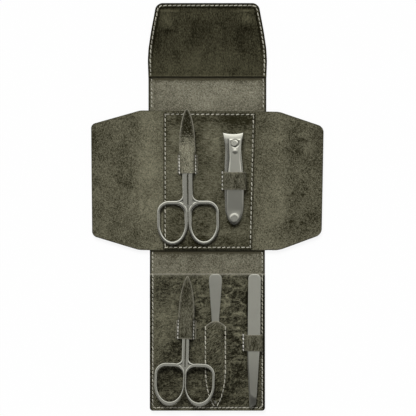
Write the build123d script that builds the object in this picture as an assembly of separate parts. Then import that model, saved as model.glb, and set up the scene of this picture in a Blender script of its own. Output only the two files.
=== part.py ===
from build123d import *
from dataclasses import dataclass
from math import radians, sin, sqrt, tan
import os

# A folding leather manicure case, lying open and flat, with its five tools in place.
# Millimetres. The case stands on z = 0, its long strip runs along Y and its wings along X.
# The flap is at +Y, and each tool is drawn in its own frame and then set in the case.

os.makedirs("parts", exist_ok=True)

# Thickness of each hide
outer_hide = 1.2
lining_suede = 0.8
sheet_hide = 1.0
pad_hide = 1.0
facing_hide = 1.2
trim_hide = 0.9

# Lengths along the strip, from fold line to fold line
front_length = 90.7
bottom_spine_length = 14.6
back_length = 94.1
top_spine_length = 20.0
flap_length = 49.6

# Widths of the strip, each from the middle line to the edge
strip_half_width = 38.0
top_spine_half_width = 38.9
flap_shoulder_half_width = 39.35
flap_waist_half_width = 37.5
flap_end_half_width = 33.7
flap_shoulder_from_fold = 11.6
strip_corner_radius = 2.0
flap_corner_radius = 3.5

# Folds: the soft strip at each fold line, and the slack between a hide and the fold line
fold_half_width = 0.6
fold_slack = 0.3

# Sheet that carries the wings
wing_reach = 76.9
left_gusset = 6.6
right_gusset = 9.4
left_wing_top_drop = 9.0
left_wing_bottom_rise = 10.2
right_wing_top_drop = 10.3
right_wing_bottom_rise = 10.4
sheet_below_top_fold = 1.7
wing_corner_radius = 3.5
crease_half_width = 0.7

# Pad of dark hide in the middle of the case
pad_left = 29.0
pad_right_top = 31.6
pad_right_bottom = 29.4
pad_below_top_fold = 3.0
pad_above_bottom_fold = 1.2

# Magnets in the flap and their keepers in the front
magnet_radius = 4.0
magnet_thickness = 1.05
magnet_x = 25.8
magnet_from_flap_fold = 37.5
dome_wall = 0.7
dome_rim = 1.0
keeper_thickness = 0.7
pocket_clearance = 0.05

# Clearances between a tool and the leather that holds it
tool_lift = 0.25
strap_clearance = 0.2
side_clearance = 0.3


def total_length():
    """Length of the open strip."""
    return front_length + bottom_spine_length + back_length + top_spine_length + flap_length


# Fold lines, from the end of the front to the end of the flap
front_end = -total_length() / 2
front_fold = front_end + front_length
bottom_fold = front_fold + bottom_spine_length
top_fold = bottom_fold + back_length
flap_fold = top_fold + top_spine_length
flap_end = flap_fold + flap_length

# Heights of the layers
lining_z = outer_hide
fold_z = outer_hide + lining_suede
centre_pad_z = fold_z + sheet_hide
centre_top_z = centre_pad_z + pad_hide
front_top_z = fold_z + pad_hide
sheet_bottom = bottom_fold + fold_slack
sheet_top = top_fold - sheet_below_top_fold
left_crease = -(strip_half_width + left_gusset)
right_crease = strip_half_width + right_gusset


# ---------------------------------------------------------------- shared shapes

def block(x0, x1, y0, y1, z0, z1):
    """A box between two corners."""
    size = (x1 - x0, y1 - y0, z1 - z0)
    return Pos(x0, y0, z0) * Box(*size, align=(Align.MIN, Align.MIN, Align.MIN))


def plate(outline, z0, z1):
    """A flat outline made into a plate between two heights."""
    return Pos(0, 0, z0) * extrude(outline, z1 - z0)


def polygon(*points):
    """A closed outline through its corners."""
    return make_face(Polyline(*points, close=True))


def disc(x, y, radius, z0, z1):
    """An upright round disc."""
    return Pos(x, y, z0) * Cylinder(radius, z1 - z0, align=(Align.CENTER, Align.CENTER, Align.MIN))


def mirrored_outline(*half):
    """A closed outline from its right half, whose ends lie on the middle line."""
    right = Wire(list(half))
    left = mirror(right, Plane.YZ)
    return make_face([*right.edges(), *left.edges()])


# ---------------------------------------------------------------- the strip

def strip_face(half_width, y0, y1):
    """A straight stretch of the strip."""
    return polygon((-half_width, y0), (half_width, y0), (half_width, y1), (-half_width, y1))


def front_face(y1):
    """The front, with the rounded corners of its free end."""
    face = strip_face(strip_half_width, front_end, y1)
    corners = face.vertices().group_by(Axis.Y)[0]
    return fillet(corners, strip_corner_radius)


def flap_face(y0):
    """The flap: nearly straight to its shoulders, then bowed in to a rounded end."""
    shoulder_y = flap_fold + flap_shoulder_from_fold
    waist_y = (shoulder_y + flap_end) / 2
    face = mirrored_outline(
        Line((0, y0), (top_spine_half_width, y0)),
        Line((top_spine_half_width, y0), (flap_shoulder_half_width, shoulder_y)),
        ThreePointArc(
            (flap_shoulder_half_width, shoulder_y),
            (flap_waist_half_width, waist_y),
            (flap_end_half_width, flap_end),
        ),
        Line((flap_end_half_width, flap_end), (0, flap_end)),
    )
    corners = [v for v in face.vertices() if v.Y > flap_end - 0.01 and abs(v.X) > 1]
    return fillet(corners, flap_corner_radius)


def strip_parts():
    """Outer hide and lining of each flat section."""
    sections = {
        "back": (strip_half_width, bottom_fold, top_fold),
        "top_spine": (top_spine_half_width, top_fold, flap_fold),
        "bottom_spine": (strip_half_width, front_fold, bottom_fold),
    }
    sections = {
        name: strip_face(half, low + fold_half_width, high - fold_half_width)
        for name, (half, low, high) in sections.items()
    }
    sections["front"] = front_face(front_fold - fold_half_width)
    parts = {f"{name}_leather": plate(face, 0, lining_z) for name, face in sections.items()}
    parts |= {f"{name}_lining": plate(face, lining_z, fold_z) for name, face in sections.items()}
    parts["flap_leather"] = plate(flap_face(flap_fold + fold_half_width), 0, lining_z)
    return parts


def fold_parts():
    """The soft stretch of hide at each fold line of the strip."""
    folds = {
        "front_fold_leather": (front_fold, strip_half_width),
        "bottom_spine_fold_leather": (bottom_fold, strip_half_width),
        "top_spine_fold_leather": (top_fold, strip_half_width),
        "flap_fold_leather": (flap_fold, top_spine_half_width),
    }
    return {
        name: block(-half, half, y - fold_half_width, y + fold_half_width, 0, fold_z)
        for name, (y, half) in folds.items()
    }


# ---------------------------------------------------------------- the closure

def magnet_spots():
    """Middle of each magnet in the flap."""
    return [(side * magnet_x, flap_fold + magnet_from_flap_fold) for side in (-1, 1)]


def keeper_spots():
    """Middle of each keeper: where the magnets land when the case is shut."""
    landing = front_fold - (back_length - magnet_from_flap_fold)
    return [(side * magnet_x, landing) for side in (-1, 1)]


def closure_parts(parts):
    """Flap facing with its magnets, and the keepers let into the lining of the front."""
    dome_top = lining_z + magnet_thickness + pocket_clearance + dome_wall
    facing = plate(flap_face(flap_fold + fold_half_width), lining_z, lining_z + facing_hide)
    magnets = []
    for x, y in magnet_spots():
        facing += disc(x, y, magnet_radius + dome_rim, lining_z, dome_top)
        facing -= disc(x, y, magnet_radius + pocket_clearance, lining_z, dome_top - dome_wall)
        magnets.append(disc(x, y, magnet_radius, lining_z, lining_z + magnet_thickness))
    keepers = []
    for x, y in keeper_spots():
        parts["front_lining"] -= disc(x, y, magnet_radius + pocket_clearance, lining_z, fold_z)
        keepers.append(disc(x, y, magnet_radius, lining_z, lining_z + keeper_thickness))
    return {"flap_facing": facing, "flap_magnets": Compound(magnets), "keeper_discs": Compound(keepers)}


# ---------------------------------------------------------------- sheet with the two wings

def wing_face(crease, reach, top_drop, bottom_rise):
    """One wing, from its crease to its outer edge, with two rounded corners."""
    face = polygon(
        (crease, sheet_bottom),
        (reach, sheet_bottom + bottom_rise),
        (reach, sheet_top - top_drop),
        (crease, sheet_top),
    )
    corners = [v for v in face.vertices() if abs(v.X) > abs(crease) + 1]
    return fillet(corners, wing_corner_radius)


def sheet_parts():
    """The sheet across the back, a gusset at each side, and the wings that fold over the tools."""
    inner = strip_half_width - crease_half_width
    middle = polygon((-inner, sheet_bottom), (inner, sheet_bottom), (inner, sheet_top), (-inner, sheet_top))
    parts = {"wings_sheet": plate(middle, fold_z, centre_pad_z)}
    left = (-1, left_crease, left_wing_top_drop, left_wing_bottom_rise)
    right = (1, right_crease, right_wing_top_drop, right_wing_bottom_rise)
    for name, (side, crease, top_drop, bottom_rise) in {"left": left, "right": right}.items():
        root = side * strip_half_width
        whole = wing_face(crease, side * wing_reach, top_drop, bottom_rise)
        soft = side * crease_half_width
        stretches = {
            f"{name}_gusset_crease": (root - soft, root + soft),
            f"{name}_gusset": (root + soft, crease - soft),
        }
        for node, (x0, x1) in stretches.items():
            parts[node] = block(min(x0, x1), max(x0, x1), sheet_bottom, sheet_top, fold_z, centre_pad_z)
        wing = plate(whole, fold_z, centre_pad_z)
        near = block(-abs(crease) - crease_half_width, abs(crease) + crease_half_width,
                     sheet_bottom, sheet_top, fold_z, centre_pad_z)
        parts[f"{name}_wing"] = wing - near
        outside = block(min(crease - soft, crease), max(crease - soft, crease),
                        sheet_bottom, sheet_top, fold_z, centre_pad_z)
        parts[f"{name}_wing_crease"] = outside + (wing & near)
    return parts


def pad_parts():
    """The dark pads that the tools lie on."""
    low = bottom_fold + pad_above_bottom_fold
    high = top_fold - pad_below_top_fold
    centre = polygon((-pad_left, low), (pad_right_bottom, low), (pad_right_top, high), (-pad_left, high))
    return {
        "centre_tool_panel": plate(centre, centre_pad_z, centre_top_z),
        "front_tool_panel": plate(front_face(front_fold - fold_slack), fold_z, front_top_z),
    }


# ---------------------------------------------------------------- scissors

# Shares that shape the curves: of a wall that its rounding may take, and of a blade at its belly
most_round = 0.48
blade_belly_width = 0.78
blade_belly_reach = 0.6


@dataclass
class ScissorSize:
    """Sizes of a pair of scissors, drawn with its pivot at the origin and its tips at +Y."""

    tip_reach: float
    ring_top: float
    hole_width: float
    hole_height: float
    top_bar: float
    bottom_bar: float
    outer_wall: float
    inner_wall: float
    shank_width: float
    ring_thickness: float = 2.2
    leaf_thickness: float = 1.15
    leaf_gap: float = 0.05
    halves_gap: float = 0.3
    joint_radius: float = 3.3
    blade_half_width: float = 2.9
    tip_half_width: float = 0.35
    corner_radius: float = 5.8
    bottom_round: float = 11.3
    neck_radius: float = 4.0
    ring_round: float = 0.9
    shank_bevel: float = 0.45
    neck_rim: float = 1.6
    neck_round: float = 0.6
    web_thickness: float = 1.4
    joint_clear: float = 0.6
    screw_radius: float = 1.2
    screw_head_radius: float = 2.1
    screw_head: float = 0.5
    running_clearance: float = 0.05

    def stack(self):
        """Height of the two crossed leaves."""
        return 2 * self.leaf_thickness + self.leaf_gap

    def ring_bottom(self):
        """Distance from the pivot to the far end of the rings."""
        return self.ring_top + self.top_bar + self.hole_height + self.bottom_bar


upper_size = ScissorSize(
    tip_reach=35.1, ring_top=24.2, hole_width=16.1, hole_height=23.9, top_bar=2.9, bottom_bar=2.5,
    outer_wall=2.1, inner_wall=2.2, shank_width=3.3,
)
lower_size = ScissorSize(
    tip_reach=34.2, ring_top=22.4, hole_width=17.1, hole_height=23.1, top_bar=2.4, bottom_bar=2.6,
    outer_wall=1.6, inner_wall=0.95, shank_width=2.1, halves_gap=0.2, joint_radius=3.0,
    blade_half_width=2.5, neck_radius=3.2,
)


def ring_outline(width, height, corner, bottom_round):
    """A finger ring's outline below the origin: rounded shoulders and a half-ellipse at the bottom."""
    straight = height - bottom_round
    top = Pos(0, -straight / 2) * Rectangle(width, straight)
    top = fillet(top.vertices().group_by(Axis.Y)[-1], corner)
    return top + Pos(0, -straight) * Ellipse(width / 2, bottom_round)


def rounded(solid, thickness, radius):
    """The flat solid with the rims of its upper and lower faces rounded."""
    rims = [e for e in solid.edges() if abs(e.center().Z - thickness / 2) > thickness / 2 - 0.01]
    return fillet(rims, radius)


def finger_ring(size):
    """The ring of the right half, its bars rounded like wire."""
    width = size.inner_wall + size.hole_width + size.outer_wall
    height = size.top_bar + size.hole_height + size.bottom_bar
    outer_corner = size.corner_radius + size.outer_wall
    outer = ring_outline(width, height, outer_corner, size.bottom_round + size.bottom_bar)
    hole = ring_outline(size.hole_width, size.hole_height, size.corner_radius, size.bottom_round)
    hole_x = (size.inner_wall - size.outer_wall) / 2
    flat = extrude(outer - Pos(hole_x, -size.top_bar) * hole, size.ring_thickness)
    wire = rounded(flat, size.ring_thickness, min(size.ring_round, most_round * size.inner_wall))
    return Pos(size.halves_gap / 2 + width / 2, -size.ring_top) * wire


def finger_hole(size):
    """Outline of the right half's finger hole."""
    x = size.halves_gap / 2 + size.inner_wall + size.hole_width / 2
    hole = ring_outline(size.hole_width, size.hole_height, size.corner_radius, size.bottom_round)
    return Pos(x, -size.ring_top - size.top_bar) * hole


def right_half(size):
    """Ring, rounded shoulder, recessed web and shank of the half whose ring is on the right."""
    edge = size.halves_gap / 2
    outside = edge + size.shank_width
    thick = size.ring_thickness
    neck_top = size.neck_radius - size.ring_top
    shank_top = -size.joint_radius - size.joint_clear
    shank = block(edge, outside, -size.ring_top - size.top_bar, shank_top, 0, thick)
    shank = chamfer(shank.edges().filter_by(Axis.Y), size.shank_bevel)
    centre = (outside + size.neck_radius, neck_top)
    ring_of_arc = Circle(size.neck_radius + size.neck_rim) - Circle(size.neck_radius)
    quarter = Rectangle(2 * size.neck_radius, 2 * size.neck_radius, align=(Align.MAX, Align.MAX))
    bend = extrude(ring_of_arc & quarter, thick)
    shoulder = Pos(*centre) * rounded(bend, thick, size.neck_round)
    reach = outside + size.neck_radius
    low = -size.ring_top - size.top_bar - size.bottom_round
    web = make_face([
        Line((edge, neck_top), (outside, neck_top)),
        RadiusArc((outside, neck_top), (reach, -size.ring_top), -size.neck_radius),
        Line((reach, -size.ring_top), (reach, -size.ring_top - size.top_bar / 2)),
        Line((reach, -size.ring_top - size.top_bar / 2), (outside, low)),
        Line((outside, low), (edge, low)),
        Line((edge, low), (edge, neck_top)),
    ])
    web_low = (thick - size.web_thickness) / 2
    web = plate(web - finger_hole(size), web_low, web_low + size.web_thickness)
    return finger_ring(size) + shank + shoulder + web


def blade_outline(size):
    """Both blades have one slender pointed outline when shut."""
    belly = (blade_belly_width * size.blade_half_width, blade_belly_reach * size.tip_reach)
    return mirrored_outline(
        Line((0, 0), (size.blade_half_width, 0)),
        ThreePointArc((size.blade_half_width, 0), belly, (size.tip_half_width, size.tip_reach)),
        Line((size.tip_half_width, size.tip_reach), (0, size.tip_reach)),
    )


def scissor_parts(name, size, place):
    """The fixed half with the right ring, the moving half with the left ring, and their screw."""
    parts = {}
    for kind, side, low in (("fixed", 1, 0), ("moving", -1, size.leaf_thickness + size.leaf_gap)):
        high = low + size.leaf_thickness
        link_low = -size.joint_radius - size.joint_clear - size.shank_width
        body = right_half(size)
        body += block(size.halves_gap / 2, size.halves_gap / 2 + size.shank_width, link_low, 0, low, high)
        if side < 0:
            body = mirror(body, Plane.YZ)
        leaf = disc(0, 0, size.joint_radius, low, high) + plate(blade_outline(size), low, high)
        bore = size.screw_radius + (size.running_clearance if side < 0 else size.running_clearance / 2)
        half = body + leaf - disc(0, 0, bore, -1, size.stack() + 1)
        parts[f"{name}_{kind}_half"] = place * half
    head_low = size.stack() + size.leaf_gap
    head = disc(0, 0, size.screw_head_radius, head_low, head_low + size.screw_head)
    head = chamfer(head.edges().group_by(Axis.Z)[-1], size.screw_head / 2)
    slot_half = size.screw_head / 2
    slot = block(-size.screw_head_radius, size.screw_head_radius, -slot_half, slot_half,
                 head_low + slot_half, head_low + 2 * size.screw_head)
    screw = disc(0, 0, size.screw_radius, 0, head_low + slot_half) + (head - slot)
    parts[f"{name}_screw"] = place * screw
    return parts


# Where each pair lies: pivot from the nearest fold line, turn in the plane and pitch
upper_pivot_from_fold = 57.5
upper_pivot = (-13.1, bottom_fold + upper_pivot_from_fold)
upper_turn = 0.6
upper_pitch = 0.0
lower_pivot_from_fold = 36.8
lower_pivot = (-14.05, front_fold - lower_pivot_from_fold)
lower_turn = -1.6
lower_pitch = 2.6


def scissor_place(pivot, turn, pitch, tip_z, size):
    """Frame of a pair of scissors whose tips lie at one height and whose rings rise by the pitch."""
    pivot_z = tip_z + size.tip_reach * sin(radians(pitch))
    return Pos(pivot[0], pivot[1], pivot_z) * Rot(0, 0, turn) * Rot(-pitch, 0, 0)


# Leather sheath of a pair of scissors: a sewn loop at the pivot and a pointed tongue over the blades
sheath_loop_half_length = 6.3
sheath_loop_half_width = 4.5
loop_foot = 1.5
tongue_tip_margin = 0.9
tongue_belly_width = 0.8
tongue_belly_reach = 0.7


def scissor_sheath(size, pivot, turn, pitch, ground_z):
    """The loop over the pivot with its two sewn feet, and the tongue that covers the blades."""
    place = scissor_place(pivot, turn, pitch, ground_z + tool_lift, size)
    roof = size.stack() + size.leaf_gap + size.screw_head + strap_clearance
    inner = sheath_loop_half_width
    outer = inner + trim_hide
    half = sheath_loop_half_length
    deep = size.tip_reach
    arch = block(-outer, outer, -half, half, -deep, roof + trim_hide)
    arch -= block(-inner, inner, -half, half, -deep, roof)
    tip = (size.tip_half_width, size.tip_reach + tongue_tip_margin)
    belly = (tongue_belly_width * outer, tongue_belly_reach * tip[1])
    tongue = mirrored_outline(
        Line((0, half), (outer, half)),
        ThreePointArc((outer, half), belly, tip),
        Line(tip, (0, tip[1])),
    )
    cover = place * (arch + plate(tongue, roof, roof + trim_hide))
    cover -= block(-wing_reach, wing_reach, front_end, flap_end, -size.tip_reach, ground_z)
    flat = Pos(pivot[0], pivot[1], ground_z) * Rot(0, 0, turn)
    for side in (-1, 1):
        x = sorted((side * inner, side * (outer + loop_foot)))
        cover += flat * block(x[0], x[1], -half, half, 0, trim_hide)
    return cover


# ---------------------------------------------------------------- nail clipper

# Drawn with its pin at the origin and its jaws at +Y, lying on z = 0
clipper_pin_from_fold = 70.9
clipper_pin = (17.5, bottom_fold + clipper_pin_from_fold)
clipper_jaw_reach = 7.0
clipper_tail_reach = 53.6
clipper_half_width = 6.1
clipper_jaw_half_width = 6.65
clipper_neck_half_width = 5.7
clipper_edge_hollow = 0.9
clipper_flare_from_pin = 14.0
clipper_tail_round = 13.1
clipper_leaf = 1.1
clipper_joint_from_pin = 44.0
clipper_spread = 2.6
clipper_jaw_gap = 1.1
clipper_lip_rise = 1.5
clipper_lip = 1.1
clipper_upper_lip = 0.55
clipper_pin_radius = 1.35
clipper_pin_head_radius = 2.0
clipper_pin_head = 0.45
clipper_foot_radius = 2.2
clipper_foot = 0.5
clipper_hole_slack = 0.35
clipper_rivet_radius = 1.1
clipper_rivet_from_tail = 4.0
lever_front_reach = 3.0
lever_front_half_width = 3.95
lever_neck_half_width = 3.5
lever_half_width = 5.5
lever_neck_from_pin = 7.5
lever_tail_inset = 0.5
lever_bow_width = 0.93
lever_bow_reach = 0.65
lever_thickness = 1.0
lever_slack = 0.15
lever_boss_radius = 2.95
lever_boss = 0.3
lever_boss_round = 0.25
lever_boss_from_tail = 1.0
lever_dimple_radius = 1.1
lever_dimple_from_pin = 5.0


def cutting_edge():
    """Half of the hollow edge across the jaws, from the corner to the middle."""
    half, hollow = clipper_jaw_half_width, clipper_edge_hollow
    radius = (half ** 2 + hollow ** 2) / (2 * hollow)
    lowest = clipper_jaw_reach - hollow
    between = lowest + radius - sqrt(radius ** 2 - (half / 2) ** 2)
    return ThreePointArc((half, clipper_jaw_reach), (half / 2, between), (0, lowest))


def clipper_outline(half_width, tail_reach):
    """Plan of a leaf: flared jaws, a straight body and a long round tail."""
    tail_start = -(tail_reach - clipper_tail_round)
    body = mirrored_outline(
        Line((0, tail_start), (half_width, tail_start)),
        Line((half_width, tail_start), (half_width, -clipper_flare_from_pin)),
        ThreePointArc((half_width, -clipper_flare_from_pin), (clipper_neck_half_width, 0),
                      (clipper_jaw_half_width, clipper_jaw_reach)),
        cutting_edge(),
    )
    return body + Pos(0, tail_start) * Ellipse(half_width, clipper_tail_round)


def lever_outline():
    """Plan of the lever: a waist behind the pin and a broad round end over the tail."""
    tail_reach = clipper_tail_reach - lever_tail_inset
    tail_start = -(tail_reach - clipper_tail_round)
    body = mirrored_outline(
        Line((0, tail_start), (lever_half_width, tail_start)),
        ThreePointArc((lever_half_width, tail_start),
                      (lever_bow_width * lever_half_width, lever_bow_reach * tail_start),
                      (lever_neck_half_width, -lever_neck_from_pin)),
        Line((lever_neck_half_width, -lever_neck_from_pin), (lever_front_half_width, lever_front_reach)),
        Line((lever_front_half_width, lever_front_reach), (0, lever_front_reach)),
    )
    return body + Pos(0, tail_start) * Ellipse(lever_half_width, clipper_tail_round)


def side_slice(points, plan):
    """A plan outline given a side profile: the profile's corners are (y, height)."""
    profile = make_face(Polyline(*[(0, y, z) for y, z in points], close=True))
    wide = extrude(profile, 2 * clipper_half_width, dir=(1, 0, 0), both=True)
    tall = plate(plan, -clipper_tail_reach, clipper_tail_reach)
    return wide & tall


def clipper_parts():
    """Two sprung leaves riveted at the tail, the pin through their jaws, and the folded lever."""
    leaf = clipper_leaf
    plan = clipper_outline(clipper_half_width, clipper_tail_reach)
    tail, joint, jaw = -clipper_tail_reach, -clipper_joint_from_pin, clipper_jaw_reach
    bend = clipper_pin_head_radius
    lower_lip = leaf + clipper_lip_rise
    upper_low = leaf + clipper_spread
    upper_lip = lower_lip + clipper_jaw_gap
    lower = side_slice([(tail, 0), (-bend, 0), (jaw, lower_lip - clipper_lip), (jaw, lower_lip),
                        (-bend, leaf), (tail, leaf)], plan)
    upper = side_slice([(tail, leaf), (joint, leaf), (0, upper_low), (bend, upper_low), (jaw, upper_lip),
                        (jaw, upper_lip + clipper_upper_lip), (bend, upper_low + leaf),
                        (0, upper_low + leaf), (joint, 2 * leaf), (tail, 2 * leaf)], plan)
    slope = clipper_spread / clipper_joint_from_pin
    front = lever_front_reach
    lever_low = upper_low + leaf + lever_slack + front * slope
    lever_tail = -(clipper_tail_reach - lever_tail_inset)
    lever_rest = 2 * leaf + lever_slack
    lever = side_slice([(front, lever_low), (joint, lever_rest), (lever_tail, lever_rest),
                        (lever_tail, lever_rest + lever_thickness), (joint, lever_rest + lever_thickness),
                        (front, lever_low + lever_thickness)], lever_outline())
    boss_y = lever_tail + lever_boss_radius + lever_boss_from_tail
    lever_top = lever_rest + lever_thickness
    boss = disc(0, boss_y, lever_boss_radius, lever_top - lever_boss, lever_top + lever_boss)
    lever += fillet(boss.edges().group_by(Axis.Z)[-1], lever_boss_round)
    dimple_z = lever_low + lever_thickness - lever_dimple_from_pin * slope
    dimple_floor = dimple_z - lever_thickness / 2
    lever -= disc(0, -lever_dimple_from_pin, lever_dimple_radius, dimple_floor, dimple_z + leaf)
    hole = clipper_pin_radius + clipper_hole_slack
    head_z = lever_low + lever_thickness + lever_slack
    lower -= disc(0, 0, clipper_pin_radius + pocket_clearance, -leaf, lower_lip)
    lower -= disc(0, 0, clipper_foot_radius + pocket_clearance, -leaf, clipper_foot)
    upper -= disc(0, 0, hole, 0, head_z)
    lever -= disc(0, 0, hole, 0, head_z)
    rivet_y = tail + clipper_rivet_from_tail + lever_tail_inset
    lower -= disc(0, rivet_y, clipper_rivet_radius, -leaf, leaf)
    upper -= disc(0, rivet_y, clipper_rivet_radius + clipper_hole_slack / 2, 0, head_z)
    pin = disc(0, 0, clipper_pin_radius, 0, head_z) + disc(0, 0, clipper_foot_radius, 0, clipper_foot)
    head = disc(0, 0, clipper_pin_head_radius, head_z, head_z + clipper_pin_head)
    pin += fillet(head.edges().group_by(Axis.Z)[-1], clipper_pin_head / 2)
    rivet = disc(0, rivet_y, clipper_rivet_radius, 0, 2 * leaf)
    place = Pos(clipper_pin[0], clipper_pin[1], centre_top_z + tool_lift)
    parts = {"lower_leaf": lower, "upper_leaf": upper, "lever": lever, "pin": pin, "tail_rivet": rivet}
    return {f"clipper_{name}": place * solid for name, solid in parts.items()}


def lever_height(from_pin):
    """Height of the lever's top above the clipper's underside, at a distance behind the pin."""
    slope = clipper_spread / clipper_joint_from_pin
    return 2 * clipper_leaf + clipper_spread + lever_slack + lever_thickness - from_pin * slope


# ---------------------------------------------------------------- nail file and tweezers

# The file and the tweezers lie with their upper ends near the front's fold line
tools_below_fold = 0.5
file_x = 5.3
file_top = front_fold - tools_below_fold
file_length = 85.5
file_thickness = 0.85
file_end_half_width = 2.1
file_shoulder_half_width = 3.6
file_shoulder_from_top = 1.8
file_spatula_half_width = 4.2
file_spatula_from_top = 4.5
file_waist_half_width = 2.35
file_waist_from_top = 31.0
file_blade_half_width = 3.2
file_blade_from_top = 42.0
file_point_length = 22.0
file_point_belly = 0.66
file_tip_half_width = 0.5


def file_outline():
    """Spatula end, slim waist and a blade that runs to a point."""
    end = (file_end_half_width, 0)
    shoulder = (file_shoulder_half_width, -file_shoulder_from_top)
    widest = (file_spatula_half_width, -file_spatula_from_top)
    waist = (file_waist_half_width, -file_waist_from_top)
    blade = (file_blade_half_width, -file_blade_from_top)
    point = (file_blade_half_width, file_point_length - file_length)
    belly = (file_point_belly * file_blade_half_width, file_point_length / 2 - file_length)
    tip = (file_tip_half_width, -file_length)
    half = mirrored_outline(
        Line((0, 0), end),
        ThreePointArc(end, shoulder, widest),
        Line(widest, waist),
        Line(waist, blade),
        Line(blade, point),
        ThreePointArc(point, belly, tip),
        Line(tip, (0, -file_length)),
    )
    return Pos(file_x, file_top) * half


# Tweezers, drawn with their closed end at the origin and their tips at -Y
tweezers_x = 31.05
tweezers_top = front_fold - tools_below_fold
tweezers_turn = -0.55
tweezers_length = 88.4
tweezers_half_width = 4.1
tweezers_tip_half_width = 1.7
tweezers_straight = 44.0
tweezers_slant = 2.6
tweezers_corner = 3.0
arm_thickness = 1.0
arm_gap = 0.3
arm_weld_length = 6.0
arm_opening = 0.6


def tweezers_outline():
    """One arm: straight for half its length, then tapering to a slanted tip."""
    half, tip, long = tweezers_half_width, tweezers_tip_half_width, tweezers_length
    face = polygon((-half, 0), (half, 0), (half, -tweezers_straight), (tip, tweezers_slant - long),
                   (-tip, -long), (-half, -tweezers_straight))
    return fillet(face.vertices().group_by(Axis.Y)[-1], tweezers_corner)


def tweezers_parts():
    """The lower arm with the weld block, and the sprung upper arm, slightly open."""
    place = Pos(tweezers_x, tweezers_top, front_top_z + tool_lift) * Rot(0, 0, tweezers_turn)
    arm = plate(tweezers_outline(), 0, arm_thickness)
    weld = plate(tweezers_outline(), arm_thickness, arm_thickness + arm_gap / 2)
    weld &= block(-tweezers_half_width, tweezers_half_width, -arm_weld_length, 0, 0, 2 * arm_thickness)
    hinge = Pos(0, -arm_weld_length / 2, arm_thickness + arm_gap)
    upper = hinge * Rot(-arm_opening, 0, 0) * hinge.inverse() * Pos(0, 0, arm_thickness + arm_gap) * arm
    return {"tweezers_lower_arm": place * (arm + weld), "tweezers_upper_arm": place * upper}


# ---------------------------------------------------------------- sheath and loops

# Sheath of the file: a patch sewn down at its edge, with a raised middle over the blade
file_sheath_mouth_from_fold = 35.5
file_sheath_mouth = front_fold - file_sheath_mouth_from_fold
file_sheath_half_width = 7.1
file_sheath_seam = 2.4
file_sheath_straight = 27.0
file_sheath_tip_margin = 1.6
file_sheath_belly_width = 0.74
file_sheath_belly_drop = 0.08
file_mouth_rise = 3.3

# Loops of the clipper and the tweezers: half-length, and the sewn foot at the left
clipper_loop_from_pin = 24.75
clipper_loop_half_length = 5.85
tweezers_loop_from_top = 45.4
tweezers_loop_half_length = 5.4
loop_right_foot = 0.5


def file_sheath():
    """The file's sheath: flat seam all round, raised over the blade, open at its peaked mouth."""
    low_y = file_top - file_length - file_sheath_tip_margin
    turn_y = file_sheath_mouth - file_sheath_straight

    def patch(half, tip_y, mouth_y, rise):
        belly_y = (turn_y + tip_y) / 2 - file_sheath_belly_drop * (turn_y - tip_y)
        return mirrored_outline(
            Line((0, mouth_y + rise), (half, mouth_y)),
            Line((half, mouth_y), (half, turn_y)),
            ThreePointArc((half, turn_y), (file_sheath_belly_width * half, belly_y), (0, tip_y)),
        )

    seam = file_sheath_seam
    bottom = front_top_z
    hollow_top = bottom + tool_lift + file_thickness + strap_clearance
    outer = patch(file_sheath_half_width, low_y, file_sheath_mouth, file_mouth_rise)
    inner = patch(file_sheath_half_width - seam, low_y + seam / 2, file_sheath_mouth, file_mouth_rise)
    body = plate(outer, bottom, bottom + trim_hide) + plate(inner, bottom, hollow_top + trim_hide)
    return Pos(file_x, 0, 0) * (body - plate(blade_hollow(), bottom, hollow_top))


def blade_hollow():
    """Room for the file's blade inside its sheath, open past the mouth."""
    half = file_blade_half_width + side_clearance
    mouth = file_sheath_mouth + 2 * file_mouth_rise
    end = file_top - file_length - side_clearance
    point = (half, end + file_point_length)
    belly_half = file_point_belly * file_blade_half_width + side_clearance
    belly = (belly_half, end + file_point_length / 2)
    tip = (file_tip_half_width + side_clearance, end)
    return mirrored_outline(
        Line((0, mouth), (half, mouth)),
        Line((half, mouth), point),
        ThreePointArc(point, belly, tip),
        Line(tip, (0, end)),
    )


def strap_loop(x0, x1, y0, y1, ground_z, roof_z, left_foot, right_foot):
    """A strap over a tool: inner faces at x0 and x1, underside at roof_z, feet sewn to the pad."""
    outer = block(x0 - trim_hide, x1 + trim_hide, y0, y1, ground_z, roof_z + trim_hide)
    strap = outer - block(x0, x1, y0, y1, ground_z, roof_z)
    strap += block(x0 - trim_hide - left_foot, x0, y0, y1, ground_z, ground_z + trim_hide)
    return strap + block(x1, x1 + trim_hide + right_foot, y0, y1, ground_z, ground_z + trim_hide)


def loop_parts():
    """The loops of the clipper and the tweezers."""
    side = clipper_half_width + side_clearance
    middle = clipper_pin[1] - clipper_loop_from_pin
    front_of_loop = clipper_loop_from_pin - clipper_loop_half_length
    clipper_roof = centre_top_z + tool_lift + lever_height(front_of_loop) + strap_clearance
    low, high = middle - clipper_loop_half_length, middle + clipper_loop_half_length
    clipper = strap_loop(clipper_pin[0] - side, clipper_pin[0] + side, low, high,
                         centre_top_z, clipper_roof, loop_foot, loop_right_foot)
    middle = tweezers_top - tweezers_loop_from_top
    reach = tweezers_loop_from_top + tweezers_loop_half_length
    drift = reach * sin(radians(tweezers_turn))
    side = tweezers_half_width + side_clearance
    rise = 2 * arm_thickness + arm_gap + reach * tan(radians(arm_opening))
    tweezers_roof = front_top_z + tool_lift + rise + strap_clearance
    low, high = middle - tweezers_loop_half_length, middle + tweezers_loop_half_length
    tweezers = strap_loop(tweezers_x - side + drift, tweezers_x + side, low, high,
                          front_top_z, tweezers_roof, loop_foot, loop_right_foot)
    return {"clipper_loop": clipper, "tweezers_loop": tweezers}


# ---------------------------------------------------------------- the whole case

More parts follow.
